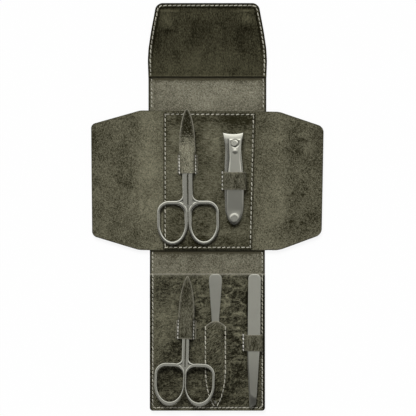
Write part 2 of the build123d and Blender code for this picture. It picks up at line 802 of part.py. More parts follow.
def case_parts():
    """Every piece of the case by name."""
    parts = strip_parts()
    parts |= fold_parts()
    parts |= closure_parts(parts)
    parts |= sheet_parts()
    parts |= pad_parts()
    pairs = {
        "upper_scissors": (upper_size, upper_pivot, upper_turn, upper_pitch, centre_top_z),
        "lower_scissors": (lower_size, lower_pivot, lower_turn, lower_pitch, front_top_z),
    }
    for name, (size, pivot, turn, pitch, ground_z) in pairs.items():
        place = scissor_place(pivot, turn, pitch, ground_z + tool_lift, size)
        parts |= scissor_parts(name, size, place)
        parts[f"{name}_sheath"] = scissor_sheath(size, pivot, turn, pitch, ground_z)
    parts |= clipper_parts()
    file_low = front_top_z + tool_lift
    parts["nail_file"] = plate(file_outline(), file_low, file_low + file_thickness)
    parts["file_sheath"] = file_sheath()
    parts |= tweezers_parts()
    parts |= loop_parts()
    return parts


for node, solid in case_parts().items():
    export_step(solid, f"parts/{node}.step")
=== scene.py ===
"""Manicure case, lying open: leather, stitches, steel tools and the stage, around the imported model."""

import math

import bpy
import numpy as np
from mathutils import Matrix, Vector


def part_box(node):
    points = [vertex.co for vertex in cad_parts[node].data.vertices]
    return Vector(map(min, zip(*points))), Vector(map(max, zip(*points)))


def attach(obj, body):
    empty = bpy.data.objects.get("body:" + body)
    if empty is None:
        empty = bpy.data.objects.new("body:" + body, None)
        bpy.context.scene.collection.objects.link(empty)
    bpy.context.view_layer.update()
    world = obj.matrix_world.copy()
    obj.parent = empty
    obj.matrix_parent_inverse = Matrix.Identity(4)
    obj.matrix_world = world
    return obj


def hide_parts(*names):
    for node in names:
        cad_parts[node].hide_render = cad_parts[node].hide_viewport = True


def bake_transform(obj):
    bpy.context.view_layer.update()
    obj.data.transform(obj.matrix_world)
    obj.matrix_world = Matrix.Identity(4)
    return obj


bl_info = {
    "name": "Manicure case",
    "version": (1, 0, 0),
    "blender": (4, 5, 0),
    "location": "View3D > Sidebar > Manicure case",
    "description": "Dresses an open leather manicure case and its steel tools",
    "category": "Add Mesh",
}

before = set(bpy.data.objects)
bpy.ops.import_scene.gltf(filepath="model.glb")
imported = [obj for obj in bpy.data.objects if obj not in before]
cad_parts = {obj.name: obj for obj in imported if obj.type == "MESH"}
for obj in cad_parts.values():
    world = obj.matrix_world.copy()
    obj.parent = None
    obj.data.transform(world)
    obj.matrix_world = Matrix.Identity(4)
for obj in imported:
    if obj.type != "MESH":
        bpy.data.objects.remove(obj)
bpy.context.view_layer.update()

MM = 0.001


def box_mm(node):
    """Lowest and highest corner of a solid, in millimetres."""
    low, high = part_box(node)
    return np.array(low) / MM, np.array(high) / MM


# ---------------------------------------------------------------- sizes, in millimetres

HIDE_TOP = 1.2
LINING_TOP = 2.0
SHEET_TOP = 3.0
CENTRE_TOP = 4.0
FRONT_TOP = 3.0
TRIM = 0.9

FRONT_END = -134.5
FRONT_FOLD = -43.8
BOTTOM_FOLD = -29.2
TOP_FOLD = 64.9
FLAP_FOLD = 84.9
FLAP_END = 134.5
STRIP_HALF = 38.0
FACING_LOW = FLAP_FOLD + 0.9
LINING_INSET = 0.8
LOW_CUT = -36.5
BACK_CUT = 17.0
HIGH_CUT = 74.9

SHEET_LOW = -28.9
SHEET_HIGH = 63.2
LEFT_CREASE = -44.6
RIGHT_CREASE = 47.4
LEFT_CUT = -41.3
RIGHT_CUT = 42.7
GUSSET = 38.0
WING_REACH = 76.4

FRONT_PANEL_HIGH = FRONT_FOLD - 0.3
PAD_LOW = -28.0
PAD_HIGH = 61.9
PAD_LEFT = -29.0
PAD_RIGHT_LOW = 29.4
PAD_RIGHT_HIGH = 31.6

FILE_X = 5.3
FILE_SEAM = 6.55
TOOL_LIFT = 0.25

STRIP_CORNER = 2.0
HAIR = 0.01
EDGE_STEP = 0.45

SEAM_PITCH = 3.15
SIDE_PITCH = 2.65
LOOP_PITCH = 2.2


# ---------------------------------------------------------------- smooth noise on arrays

def smooth_noise(x, y, seed):
    """Noise from -1 to 1 with bumps about one unit across."""
    table = np.random.default_rng(seed).random((64, 64)) * 2 - 1
    xi, yi = np.floor(x).astype(int), np.floor(y).astype(int)
    u, v = x - xi, y - yi
    u, v = u * u * (3 - 2 * u), v * v * (3 - 2 * v)
    corner = [table[(yi + j) % 64, (xi + i) % 64] for j in (0, 1) for i in (0, 1)]
    low = corner[0] * (1 - u) + corner[1] * u
    high = corner[2] * (1 - u) + corner[3] * u
    return low * (1 - v) + high * v


def layered(x, y, size, seed, octaves=3):
    """Several octaves of noise; size is the width of the largest bumps in millimetres."""
    total, weight = 0, 0
    for k in range(octaves):
        share = 0.55 ** k
        step = 2 ** k / size
        total = total + share * smooth_noise(x * step + 7 * k, y * step - 11 * k, seed + k)
        weight += share
    return total / weight


def creases(x, y, size, seed, sharp=5.0):
    """Thin raised lines where the noise crosses zero, from 0 to 1."""
    return np.exp(-sharp * np.abs(layered(x, y, size, seed, 2)) * 2)


def spots(x, y, places):
    """Sum of soft round patches (x, y, half width, half height, strength)."""
    total = np.zeros_like(x)
    for cx, cy, rx, ry, strength in places:
        total += strength * np.exp(-((x - cx) / rx) ** 2 - ((y - cy) / ry) ** 2)
    return total


def ease(value, start, end):
    """0 before start, 1 after end, smooth between."""
    t = np.clip((value - start) / (end - start), 0, 1)
    return t * t * (3 - 2 * t)


def path_distance(x, y, path):
    """Distance from each point to a path of straight runs."""
    best = np.full_like(x, 1e9)
    for (ax, ay), (bx, by) in zip(path, path[1:]):
        dx, dy = bx - ax, by - ay
        t = np.clip(((x - ax) * dx + (y - ay) * dy) / (dx * dx + dy * dy), 0, 1)
        best = np.minimum(best, np.hypot(x - ax - t * dx, y - ay - t * dy))
    return best


def groove(distance, half_width):
    """A soft channel: 1 on the path and 0 from the half width on."""
    return 1 - ease(distance, 0, half_width)


# ---------------------------------------------------------------- meshes

def closed_sheet(name, top, under, material, tone, rim=None):
    """A smooth closed mesh between two grids of points, given as rows x columns x 3 in millimetres."""
    ax, ay = top[0, 1, :2] - top[0, 0, :2]
    bx, by = top[1, 0, :2] - top[0, 0, :2]
    if ax * by - ay * bx < 0:
        top, under, tone = top[:, ::-1], under[:, ::-1], tone[:, ::-1]
        rim = None if rim is None else rim[:, ::-1]
    rows, cols = top.shape[:2]
    count = rows * cols
    index = np.arange(count).reshape(rows, cols)
    quads = np.stack([index[:-1, :-1], index[:-1, 1:], index[1:, 1:], index[1:, :-1]], -1).reshape(-1, 4)
    loop = np.concatenate([index[0, :-1], index[:-1, -1], index[-1, :0:-1], index[:0:-1, 0]])
    after = np.roll(loop, -1)
    walls = np.stack([loop + count, after + count, after, loop], -1)
    faces = np.concatenate([quads, quads[:, ::-1] + count, walls])
    points = np.concatenate([top.reshape(-1, 3), under.reshape(-1, 3)]) * MM
    mesh = bpy.data.meshes.new(name)
    mesh.from_pydata(points.tolist(), [], faces.tolist())
    attributes = {"tone": np.tile(tone.ravel(), 2)}
    if rim is not None:
        attributes["rim"] = np.concatenate([rim.ravel(), np.ones(count)])
    for key, values in attributes.items():
        mesh.attributes.new(key, "FLOAT", "POINT").data.foreach_set("value", values.astype(np.float32))
    mesh.shade_smooth()
    mesh.set_sharp_from_angle(angle=math.radians(50))
    mesh.materials.append(material)
    return linked(name, mesh)


def linked(name, data):
    """A new object of the scene."""
    made = bpy.data.objects.new(name, data)
    bpy.context.scene.collection.objects.link(made)
    return made


def stand_for(piece, body, node):
    """Lets a piece ride on a body in place of a solid."""
    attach(piece, body)
    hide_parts(node)


LIP = (0.0, 0.05, 0.15, 0.32)


def lines(low, high, step, low_lip=True, high_lip=True):
    """Grid lines from low to high, closer together inside a cut edge."""
    inner_low = low + (LIP[-1] + 0.2 if low_lip else 0)
    inner_high = high - (LIP[-1] + 0.2 if high_lip else 0)
    inner = np.linspace(inner_low, inner_high, max(2, round((inner_high - inner_low) / step) + 1))
    return np.concatenate([
        [low + d for d in LIP] if low_lip else [],
        inner,
        [high - d for d in reversed(LIP)] if high_lip else [],
    ])


NEAR_FOLD = np.linspace(-2, 2, 17)


def spaced(low, high, step, near_low=(), near_high=(), at=(), lips=(True, True)):
    """Grid lines from low to high, with more of them near both ends and at some places."""
    extra = [low + d for d in near_low] + [high - d for d in near_high]
    return sorted({*lines(low, high, step, *lips), *extra, *at})


def lip_drop(distance, radius=0.32):
    """How far a rounded edge lies below its face, at a distance from the edge."""
    run = np.clip(radius - distance, 0, radius)
    return radius - np.sqrt(np.maximum(radius ** 2 - run ** 2, 0))


def row_grid(y_lines, left_of, right_of, step, ends=True):
    """Points in rows along Y between two edges, and how far each lies from the nearest edge or end."""
    widest = max(right_of(y) - left_of(y) for y in y_lines)
    pattern = lines(0, widest, step)
    lip_count = len(LIP)
    rows_x = []
    for y in y_lines:
        low, high = left_of(y), right_of(y)
        row = pattern * (high - low) / widest
        lip = pattern[:lip_count] * min(1, (high - low) / 1.6)
        row[:lip_count], row[-lip_count:] = lip, (high - low) - lip[::-1]
        rows_x.append(low + row)
    x = np.array(rows_x)
    y = np.repeat(np.asarray(y_lines, float)[:, None], x.shape[1], 1)
    edge = np.minimum(x - x[:, :1], x[:, -1:] - x)
    if ends:
        edge = np.minimum(edge, np.minimum(y - y[0], y[-1] - y))
    return x, y, edge


def rounded_path(points, radii, steps=8):
    """A path whose inner corners are rounded with the given radii."""
    path = [points[0]]
    for before, corner, after, radius in zip(points, points[1:], points[2:], radii):
        a, b, c = (np.array(p, float) for p in (before, corner, after))
        into, out = (a - b) / np.linalg.norm(a - b), (c - b) / np.linalg.norm(c - b)
        half = math.acos(np.clip(into @ out, -1, 1)) / 2
        run = radius / math.tan(half)
        start, end = b + into * run, b + out * run
        middle = (into + out) / np.linalg.norm(into + out)
        centre = b + middle * radius / math.sin(half)
        for t in np.linspace(0, 1, steps):
            chord = start * (1 - t) + end * t - centre
            path.append(tuple(centre + chord / np.linalg.norm(chord) * radius))
    path.append(points[-1])
    return path


def along(path, key, value):
    """The other coordinate of a path where its coordinate number key has the value."""
    coords = np.array(path)
    order = np.argsort(coords[:, key], kind="stable")
    return float(np.interp(value, coords[order, key], coords[order, 1 - key]))


# ---------------------------------------------------------------- shader expressions

class Wire:
    """A socket of a shader; arithmetic on it adds Math nodes."""

    def __init__(self, tree, socket=None):
        self.tree = tree
        self.socket = socket

    def node(self, kind, settings=None, inputs=None, out=0):
        """Adds a node: its settings first, then the values or links of its sockets."""
        made = self.tree.nodes.new(kind)
        for key, value in (settings or {}).items():
            if key == "stops":
                ramp = made.color_ramp
                while len(ramp.elements) < len(value):
                    ramp.elements.new(0.5)
                for element, (place, colour) in zip(ramp.elements, value):
                    element.position = place
                    element.color = (*colour, 1)
            else:
                setattr(made, key, value)
        for key, value in (inputs or {}).items():
            if isinstance(value, Wire):
                self.tree.links.new(value.socket, made.inputs[key])
            else:
                made.inputs[key].default_value = value
        return Wire(self.tree, made.outputs[out])

    def math(self, operation, first, second):
        return self.node("ShaderNodeMath", {"operation": operation}, {0: first, 1: second})

    def __add__(self, other):
        return self.math("ADD", self, other)

    __radd__ = __add__

    def __sub__(self, other):
        return self.math("SUBTRACT", self, other)

    def __rsub__(self, other):
        return self.math("SUBTRACT", other, self)

    def __mul__(self, other):
        return self.math("MULTIPLY", self, other)

    __rmul__ = __mul__

    def clamp(self):
        return self.node("ShaderNodeClamp", None, {0: self})

    def mix(self, first, second):
        """A colour between two colours, by this factor."""
        inputs = {0: self, 6: first, 7: second}
        return self.node("ShaderNodeMix", {"data_type": "RGBA"}, inputs, out=2)

    def noise(self, size, detail=3.0, stretch=(1, 1, 1), turn=0.0, roughness=0.5):
        """Noise over the piece, with bumps of a size in millimetres, stretched along its own axes."""
        place = self.node("ShaderNodeTexCoord", out=3)
        turned = self.node("ShaderNodeMapping", None, {0: place, 2: (0, 0, math.radians(turn))})
        scaled = self.node("ShaderNodeMapping", None, {0: turned, 3: [1 / (MM * size * s) for s in stretch]})
        inputs = {"Vector": scaled, "Scale": 1.0, "Detail": detail, "Roughness": roughness}
        return self.node("ShaderNodeTexNoise", None, inputs)

    def geometry(self, kind, settings=None, **inputs):
        """Adds a geometry node; underscores in the names of its sockets stand for spaces."""
        named = {key.replace("_", " "): value for key, value in inputs.items()}
        return self.node(f"GeometryNode{kind}", settings, named)

    def attribute(self, name):
        return self.node("ShaderNodeAttribute", {"attribute_name": name}, out=2)


def linear(*levels):
    """Linear colour of three display levels from 0 to 255."""
    return tuple(v / 255 / 12.92 if v <= 10 else ((v / 255 + 0.055) / 1.055) ** 2.4 for v in levels)


def colour4(colour):
    return (*colour, 1)


def emptied(owner):
    """The wire of a material or world whose nodes are cleared."""
    owner.use_nodes = True
    owner.node_tree.nodes.clear()
    return Wire(owner.node_tree)


def put_out(wire, kind, socket):
    """Links a socket to a new output node."""
    wire.tree.links.new(socket, wire.tree.nodes.new(kind).inputs[0])


def new_material(name):
    """An empty node material: its wire and its surface shader."""
    material = bpy.data.materials.new(name)
    wire = emptied(material)
    shader = wire.tree.nodes.new("ShaderNodeBsdfPrincipled")
    put_out(wire, "ShaderNodeOutputMaterial", shader.outputs[0])
    return material, wire, shader


def drive(wire, shader, **sockets):
    """Links or sets sockets of the surface shader; underscores stand for spaces."""
    for key, value in sockets.items():
        target = shader.inputs[key.replace("_", " ")]
        if isinstance(value, Wire):
            wire.tree.links.new(value.socket, target)
        else:
            target.default_value = value


def bumped(wire, height, distance):
    """The normal of a relief whose full height is a distance in millimetres."""
    return wire.node("ShaderNodeBump", None, {"Height": height, "Distance": distance * MM})


# ---------------------------------------------------------------- finishes

def leather(name, tones, rim, middle, marks, grain, turn, relief, roughness, gloss):
    """Hide between a dark and a light tone, its middle level shifted by the piece's tone, with mottling,
    specks of pile along the grain, a raw rim and a fine relief."""
    material, wire, shader = new_material(name)
    clouds = wire.noise(14, 3) - 0.5
    patches = wire.noise(4.2, 3, roughness=0.6) - 0.5
    specks = wire.noise(1.15, 3, (*grain, 1), turn, roughness=0.75) - 0.5
    pile = wire.noise(0.62, 2, (*grain, 1), turn, roughness=0.7) - 0.5
    mottling = (clouds * 0.8 + patches * 0.35 + specks * 1.9 + pile * 2.5) * marks
    level = middle + wire.attribute("tone") * 0.32 + mottling
    colour = level.clamp().mix(colour4(tones[0]), colour4(tones[1]))
    edge = wire.attribute("rim") * (1.0 + pile)
    colour = edge.clamp().mix(colour, colour4(rim))
    bumps = specks * 1.3 + pile * 0.8 + patches * 0.8
    drive(wire, shader, Base_Color=colour, Roughness=(roughness + pile * 0.2).clamp(),
          Normal=bumped(wire, bumps, 0.5 * relief), Specular_IOR_Level=gloss)
    return material


def shaded(colour, share):
    """A colour with its levels multiplied."""
    return colour4([c * share for c in colour])


def steel(name, colour, roughness, brush, scratch, variation, grit):
    """Satin steel, brushed along one direction; the piece's tone darkens it with painted shade, or marks
    where its grit lies.
    """
    material, wire, shader = new_material(name)
    streaks = wire.noise(0.18, 2, brush) - 0.5
    blotches = wire.noise(7, 2) - 0.5
    level = (0.5 + streaks * (4 * variation) + blotches * (5 * variation)).clamp()
    shade = level.mix(shaded(colour, 1 - variation), shaded(colour, 1 + variation))
    relief, rough = streaks * scratch, roughness + streaks * (2.5 * variation)
    tone = wire.attribute("tone")
    if grit:
        grains = wire.noise(0.22, 1) - 0.5
        shade = (tone * (0.55 + grains)).clamp().mix(shade, shaded(colour, 0.35))
        relief, rough = relief + grains * tone * grit, rough + tone * 0.25
    else:
        # Negative tone paints shade on the steel.
        shade = (tone * -1.0).clamp().mix(shade, shaded(colour, 0.3))
    drive(wire, shader, Base_Color=shade, Metallic=1.0, Roughness=rough.clamp(),
          Normal=bumped(wire, relief, 1.0))
    return material


def thread(name, colour):
    """Waxed thread with a twist, and the painted shade of the needle holes between its stitches."""
    material, wire, shader = new_material(name)
    twist = wire.noise(0.3, 1, (1, 0.5, 1)) - 0.5
    level = (0.6 + wire.attribute("tone") * 0.4 + twist * 0.6).clamp()
    shade = level.mix(shaded(colour, 0.5), colour4(colour))
    # The hole attribute paints the shade of the needle holes.
    shade = wire.attribute("hole").mix(shade, colour4(linear(12, 11, 5)))
    drive(wire, shader, Base_Color=shade, Roughness=0.8, Normal=bumped(wire, twist, 0.12),
          Specular_IOR_Level=0.1)
    return material


class LeatherColours(bpy.types.PropertyGroup):
    """Dark and light tone of each hide."""

    wing_dark: bpy.props.FloatVectorProperty(
        name="Wing dark", description="Dark tone of the wings", subtype="COLOR", default=linear(39, 37, 24))
    wing_light: bpy.props.FloatVectorProperty(
        name="Wing light", description="Light tone of the wings", subtype="COLOR",
        default=linear(132, 129, 108))
    lining_dark: bpy.props.FloatVectorProperty(
        name="Lining dark", description="Dark tone of the suede", subtype="COLOR", default=linear(70, 67, 53))
    lining_light: bpy.props.FloatVectorProperty(
        name="Lining light", description="Light tone of the suede", subtype="COLOR",
        default=linear(158, 155, 136))
    facing_dark: bpy.props.FloatVectorProperty(
        name="Facing dark", description="Dark tone of the flap", subtype="COLOR", default=linear(20, 18, 7))
    facing_light: bpy.props.FloatVectorProperty(
        name="Facing light", description="Light tone of the flap", subtype="COLOR",
        default=linear(112, 109, 86))
    pad_dark: bpy.props.FloatVectorProperty(
        name="Pad dark", description="Dark tone of the middle pad", subtype="COLOR",
        default=linear(38, 36, 22))
    pad_light: bpy.props.FloatVectorProperty(
        name="Pad light", description="Light tone of the middle pad", subtype="COLOR",
        default=linear(138, 135, 113))
    panel_dark: bpy.props.FloatVectorProperty(
        name="Panel dark", description="Dark tone of the front", subtype="COLOR", default=linear(20, 18, 7))
    panel_light: bpy.props.FloatVectorProperty(
        name="Panel light", description="Light tone of the front", subtype="COLOR",
        default=linear(152, 149, 124))
    trim_dark: bpy.props.FloatVectorProperty(
        name="Trim dark", description="Dark tone of loops and sheaths", subtype="COLOR",
        default=linear(30, 28, 15))
    trim_light: bpy.props.FloatVectorProperty(
        name="Trim light", description="Light tone of loops and sheaths", subtype="COLOR",
        default=linear(156, 153, 132))
    outer_dark: bpy.props.FloatVectorProperty(
        name="Outside dark", description="Dark tone of the outside", subtype="COLOR",
        default=linear(26, 24, 16))
    outer_light: bpy.props.FloatVectorProperty(
        name="Outside light", description="Light tone of the outside", subtype="COLOR",
        default=linear(58, 55, 43))
    cut_edge: bpy.props.FloatVectorProperty(
        name="Cut edge", description="Raw edge of a hide", subtype="COLOR", default=linear(36, 34, 24))
    light_edge: bpy.props.FloatVectorProperty(
        name="Light edge", description="Raw edge of a loop or sheath", subtype="COLOR",
        default=linear(148, 145, 130))


class StitchSizes(bpy.types.PropertyGroup):
    """Sizes and colours of the stitches."""

    width: bpy.props.FloatProperty(
        name="Width", description="Thickness of the thread", default=0.74 * MM, unit="LENGTH")
    slant: bpy.props.FloatProperty(
        name="Slant", description="Turn of each stitch from its seam",
        default=math.radians(9), unit="ROTATION")
    hole: bpy.props.FloatProperty(
        name="Hole", description="Radius of a needle hole", default=0.5 * MM, unit="LENGTH")
    dull: bpy.props.FloatVectorProperty(
        name="Dull thread", description="Thread of the long seams", subtype="COLOR",
        default=linear(188, 185, 170))
    bright: bpy.props.FloatVectorProperty(
        name="Bright thread", description="Thread of the loops", subtype="COLOR",
        default=linear(226, 224, 214))


class SteelLook(bpy.types.PropertyGroup):
    """Finish of the steel."""

    colour: bpy.props.FloatVectorProperty(
        name="Steel", description="Colour of the satin steel", subtype="COLOR", default=(0.38, 0.377, 0.325))
    roughness: bpy.props.FloatProperty(
        name="Roughness", description="Roughness of the satin steel",
        default=0.34, min=0, max=1, subtype="FACTOR")


class StageLook(bpy.types.PropertyGroup):
    """Light and camera."""

    key: bpy.props.FloatProperty(
        name="Key", description="Strength of the main light", default=3.05, min=0)
    key_elevation: bpy.props.FloatProperty(
        name="Key height", description="Height of the main light above the table",
        default=math.radians(50), unit="ROTATION")
    fill: bpy.props.FloatProperty(
        name="Fill", description="Level of the light from all sides", default=0.27, min=0)
    lens: bpy.props.FloatProperty(
        name="Lens", description="Focal length in millimetres", default=180, min=1)


PROPERTY_GROUPS = {
    "case_leather": LeatherColours,
    "case_stitches": StitchSizes,
    "case_steel": SteelLook,
    "case_stage": StageLook,
}

# Tones, raw edge, middle level, marks, grain, its turn, relief, roughness and gloss of each hide
HIDES = {
    "wing_hide": ("wing", "cut_edge", 0.40, 0.72, (1.0, 1.25), 0, 1.0, 0.8, 0.05),
    "suede_lining": ("lining", "cut_edge", 0.40, 0.7, (1, 1), 0, 1.0, 0.95, 0.03),
    "facing_hide": ("facing", "cut_edge", 0.24, 0.45, (0.7, 2.0), 4, 1.0, 0.7, 0.06),
    "pad_hide": ("pad", "cut_edge", 0.33, 0.5, (1.6, 0.8), 6, 1.1, 0.8, 0.05),
    "panel_hide": ("panel", "light_edge", 0.32, 0.42, (1.3, 0.8), -10, 1.4, 0.65, 0.08),
    "sheath_hide": ("panel", "light_edge", 0.30, 0.62, (2.6, 0.6), -38, 1.4, 0.65, 0.08),
    "trim_hide": ("trim", "light_edge", 0.30, 0.75, (0.9, 1.4), -30, 1.0, 0.8, 0.05),
    "strap_hide": ("trim", "light_edge", 0.27, 0.5, (0.6, 2.0), 0, 1.0, 0.75, 0.06),
    "outer_hide": ("outer", "cut_edge", 0.5, 0.6, (1, 1), 0, 1.0, 0.5, 0.25),
}
# Colour and roughness as shares of the steel's own, brush, scratch, variation and grit of each metal
METALS = {
    "brushed_steel": (1, 1, (0.6, 14, 1), 0.02, 0.1, 0),
    # The lever's steel is a brighter copy, painted light on the lever.
    "lever_steel": (1.3, 1, (0.6, 14, 1), 0.02, 0.1, 0),
    "file_steel": (0.88, 1, (0.6, 14, 1), 0.02, 0.1, 0.09),
    "cross_steel": (1, 1, (14, 0.6, 1), 0.02, 0.1, 0),
    "wire_steel": (0.84, 0.62, (1, 1, 1), 0.001, 0.03, 0),
    "jaw_steel": (1, 0.7, (14, 0.6, 1), 0.01, 0.05, 0),
    "nickel": (1.2, 0.2 / 0.34, (1, 1, 1), 0.02, 0.1, 0),
}
finishes = {}


def finish(name):
    """A finish of the case, made when it is first asked for."""
    if name not in finishes:
        scene = bpy.context.scene
        hide, sewing, metal = scene.case_leather, scene.case_stitches, scene.case_steel
        if name in HIDES:
            tones, rim, *look = HIDES[name]
            pair = [getattr(hide, f"{tones}_{level}") for level in ("dark", "light")]
            finishes[name] = leather(name, pair, getattr(hide, rim), *look)
        elif name in METALS:
            share, rough, *look = METALS[name]
            finishes[name] = steel(name, [share * c for c in metal.colour], rough * metal.roughness, *look)
        else:
            finishes[name] = thread(name, tuple(getattr(sewing, name.removesuffix("_thread"))))
    return finishes[name]


# ---------------------------------------------------------------- stitches

def thread_tree():
    """Geometry nodes: a thread arc on each point of a resampled seam."""
    tree = bpy.data.node_groups.get("Stitches")
    if tree:
        return tree
    tree = bpy.data.node_groups.new("Stitches", "GeometryNodeTree")
    face = tree.interface
    face.new_socket("Geometry", in_out="INPUT", socket_type="NodeSocketGeometry")
    for label in ("Pitch", "Length", "Width", "Slant", "Hole"):
        face.new_socket(label, in_out="INPUT", socket_type="NodeSocketFloat")
    face.new_socket("Thread", in_out="INPUT", socket_type="NodeSocketMaterial")
    face.new_socket("Geometry", in_out="OUTPUT", socket_type="NodeSocketGeometry")
    wire = Wire(tree)
    group = tree.nodes.new("NodeGroupInput")
    inputs = {s.name: Wire(tree, s) for s in group.outputs if s.name}
    points = wire.geometry("ResampleCurve", {"mode": "LENGTH"}, Curve=inputs["Geometry"],
                           Length=inputs["Pitch"])

    def vector(x, y, z):
        return wire.node("ShaderNodeCombineXYZ", None, {0: x, 1: y, 2: z})

    def chance(low, high, seed):
        """A random value for each stitch."""
        return wire.node("FunctionNodeRandomValue", None, {2: low, 3: high, 8: seed}, out=1)

    half = inputs["Length"] * 0.5
    sunk, raised = inputs["Width"] * -0.45, inputs["Width"] * 1.1
    arc = wire.geometry("CurveQuadraticBezier", Resolution=6, Start=vector(half * -1, 0.0, sunk),
                        Middle=vector(0.0, 0.0, raised), End=vector(half, 0.0, sunk))
    ring = wire.geometry("CurvePrimitiveCircle", Resolution=6, Radius=inputs["Width"] * 0.5)
    strand = wire.geometry("CurveToMesh", Curve=arc, Profile_Curve=ring, Fill_Caps=True)
    strand = wire.geometry("Transform", Geometry=strand, Scale=(1.0, 1.0, 0.42))
    tangent = wire.geometry("InputTangent")
    turn = wire.node("FunctionNodeAlignRotationToVector", {"axis": "X"}, {"Vector": tangent})
    spin = vector(0.0, 0.0, inputs["Slant"] + chance(-0.07, 0.07, 5))
    turned = wire.node("FunctionNodeRotateRotation", {"rotation_space": "LOCAL"}, {0: turn, 1: spin})
    placed = wire.geometry("InstanceOnPoints", Points=points, Instance=strand, Rotation=turned,
                           Scale=chance(0.88, 1.1, 9))
    # Dark dents between the stitches, painted shade of the needle holes.
    ball = wire.geometry("MeshUVSphere", Segments=8, Rings=4, Radius=inputs["Hole"])
    dent = wire.geometry("Transform", Geometry=ball, Scale=(1.1, 0.9, 0.32),
                         Translation=vector(inputs["Pitch"] * 0.5, 0.0, inputs["Width"] * -0.3))
    marked = wire.geometry("StoreNamedAttribute", Geometry=dent, Name="hole", Value=1.0)
    dents = wire.geometry("InstanceOnPoints", Points=points, Instance=marked, Rotation=turn)
    named = wire.geometry("StoreNamedAttribute", {"domain": "INSTANCE"}, Geometry=placed, Name="tone",
                          Value=chance(-1.0, 1.0, 3))
    both = tree.nodes.new("GeometryNodeJoinGeometry")
    for part in (named, dents):
        tree.links.new(part.socket, both.inputs[0])
    smooth = wire.node("GeometryNodeSetShadeSmooth", None, {0: Wire(tree, both.outputs[0])})
    real = wire.geometry("RealizeInstances", Geometry=smooth)
    done = wire.geometry("SetMaterial", Geometry=real, Material=inputs["Thread"])
    put_out(wire, "NodeGroupOutput", done.socket)
    return tree


def sew(name, body, seams, pitch, length, finish_name, width=1.0):
    """One piece with the stitches along several paths: pitch and length of a stitch in millimetres."""
    sewing = bpy.context.scene.case_stitches
    curve = bpy.data.curves.new("seam", "CURVE")
    curve.dimensions = "3D"
    for path in seams:
        spline = curve.splines.new("POLY")
        spline.points.add(len(path) - 1)
        for point, place in zip(spline.points, path):
            point.co = (*(v * MM for v in place), 1)
    seam = linked("seam", curve)
    tree = thread_tree()
    modifier = seam.modifiers.new("Stitches", "NODES")
    modifier.node_group = tree
    values = {"Pitch": pitch * MM, "Length": length * MM, "Width": sewing.width * width,
              "Slant": sewing.slant, "Hole": sewing.hole, "Thread": finish(finish_name)}
    for item in tree.interface.items_tree:
        if item.in_out == "INPUT" and item.name in values:
            modifier[item.identifier] = values[item.name]
    graph = bpy.context.evaluated_depsgraph_get()
    mesh = bpy.data.meshes.new_from_object(seam.evaluated_get(graph), depsgraph=graph)
    bpy.data.objects.remove(seam)
    mesh.name = name
    made = linked(name, mesh)
    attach(made, body)


def lifted(path, height):
    """A flat path at a height."""
    return [(x, y, height) for x, y in path]


# ---------------------------------------------------------------- outlines

FLAP_RIGHT = rounded_path(
    [(38.9, 60.0), (38.95, 84.9), (39.35, 96.5), (38.9, 104.5), (37.2, 116), (35.3, 126), (33.75, FLAP_END),
     (26.0, FLAP_END)],
    [20, 40, 40, 60, 60, 5.2], 10)


def strip_half_width(y):
    """Half the strip's width along its length."""
    if y > 60:
        return STRIP_HALF + (along(FLAP_RIGHT, 1, y) - STRIP_HALF) * float(ease(np.array(y), 60.0, 62.5))
    drop = max(0.0, STRIP_CORNER - (y - FRONT_END))
    return STRIP_HALF - (STRIP_CORNER - math.sqrt(STRIP_CORNER ** 2 - drop ** 2))


def strip_rows(low, high, step, low_lip, high_lip):
    """Rows of the strip, close together at the folds and at rounded ends."""
    rows = list(lines(low, high, step, low_lip, high_lip))
    for fold in (FRONT_FOLD, BOTTOM_FOLD, TOP_FOLD, FLAP_FOLD):
        rows += [fold + d for d in NEAR_FOLD if low < fold + d < high]
    if low == FRONT_END:
        rows += [low + d for d in (0.25, 0.8, 1.2, 1.6, 2.0)]
    if high == FLAP_END:
        rows += [high - d for d in (0.25, 0.8, 1.2, 1.7, 2.3, 2.9, 3.6)]
    return sorted({round(r, 4) for r in rows})


# Ends, bodies, fold line, and the solids that the hide and the lining stand for
STRETCHES = {
    "front": (FRONT_END, LOW_CUT, ("bottom_spine", "front"), FRONT_FOLD,
              ("front_leather", "front_fold_leather"), ("front_lining",)),
    "back_low": (LOW_CUT, BACK_CUT, ("back", "bottom_spine"), BOTTOM_FOLD,
                 ("bottom_spine_leather", "bottom_spine_fold_leather"), ("bottom_spine_lining",)),
    "back_high": (BACK_CUT, HIGH_CUT, ("back", "top_spine"), TOP_FOLD,
                  ("back_leather", "top_spine_leather", "top_spine_fold_leather"),
                  ("back_lining", "top_spine_lining")),
    "flap": (HIGH_CUT, FLAP_END, ("top_spine", "flap"), FLAP_FOLD,
             ("flap_leather", "flap_fold_leather"), ()),
}


def dress_strip(piece, nodes):
    """Hides the solids that a stretch of the strip stands for, and bakes its place into its mesh."""
    if nodes:
        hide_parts(*nodes)
    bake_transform(piece)


def strip_piece(name, low, high, inset, under_z, top_z, material, relief, tone):
    """A layer of the strip over one stretch, its sides set in from the strip's."""
    rows = strip_rows(low, high, 1.2, low == FRONT_END, high == FLAP_END)
    x, y, edge = row_grid(rows, lambda v: inset - strip_half_width(v), lambda v: strip_half_width(v) - inset,
                          1.2, ends=False)
    if low == FRONT_END:
        edge = np.minimum(edge, y - low)
    if high == FLAP_END:
        edge = np.minimum(edge, high - y)
    drop = lip_drop(edge)
    top = np.stack([x, y, top_z - drop * 0.6 + relief(x, y, edge)], -1)
    under = np.stack([x, y, under_z + drop * (0.8 if under_z == 0 else 0)], -1)
    return closed_sheet(name, top, under, material, tone(x, y), np.exp(-edge / 0.35))
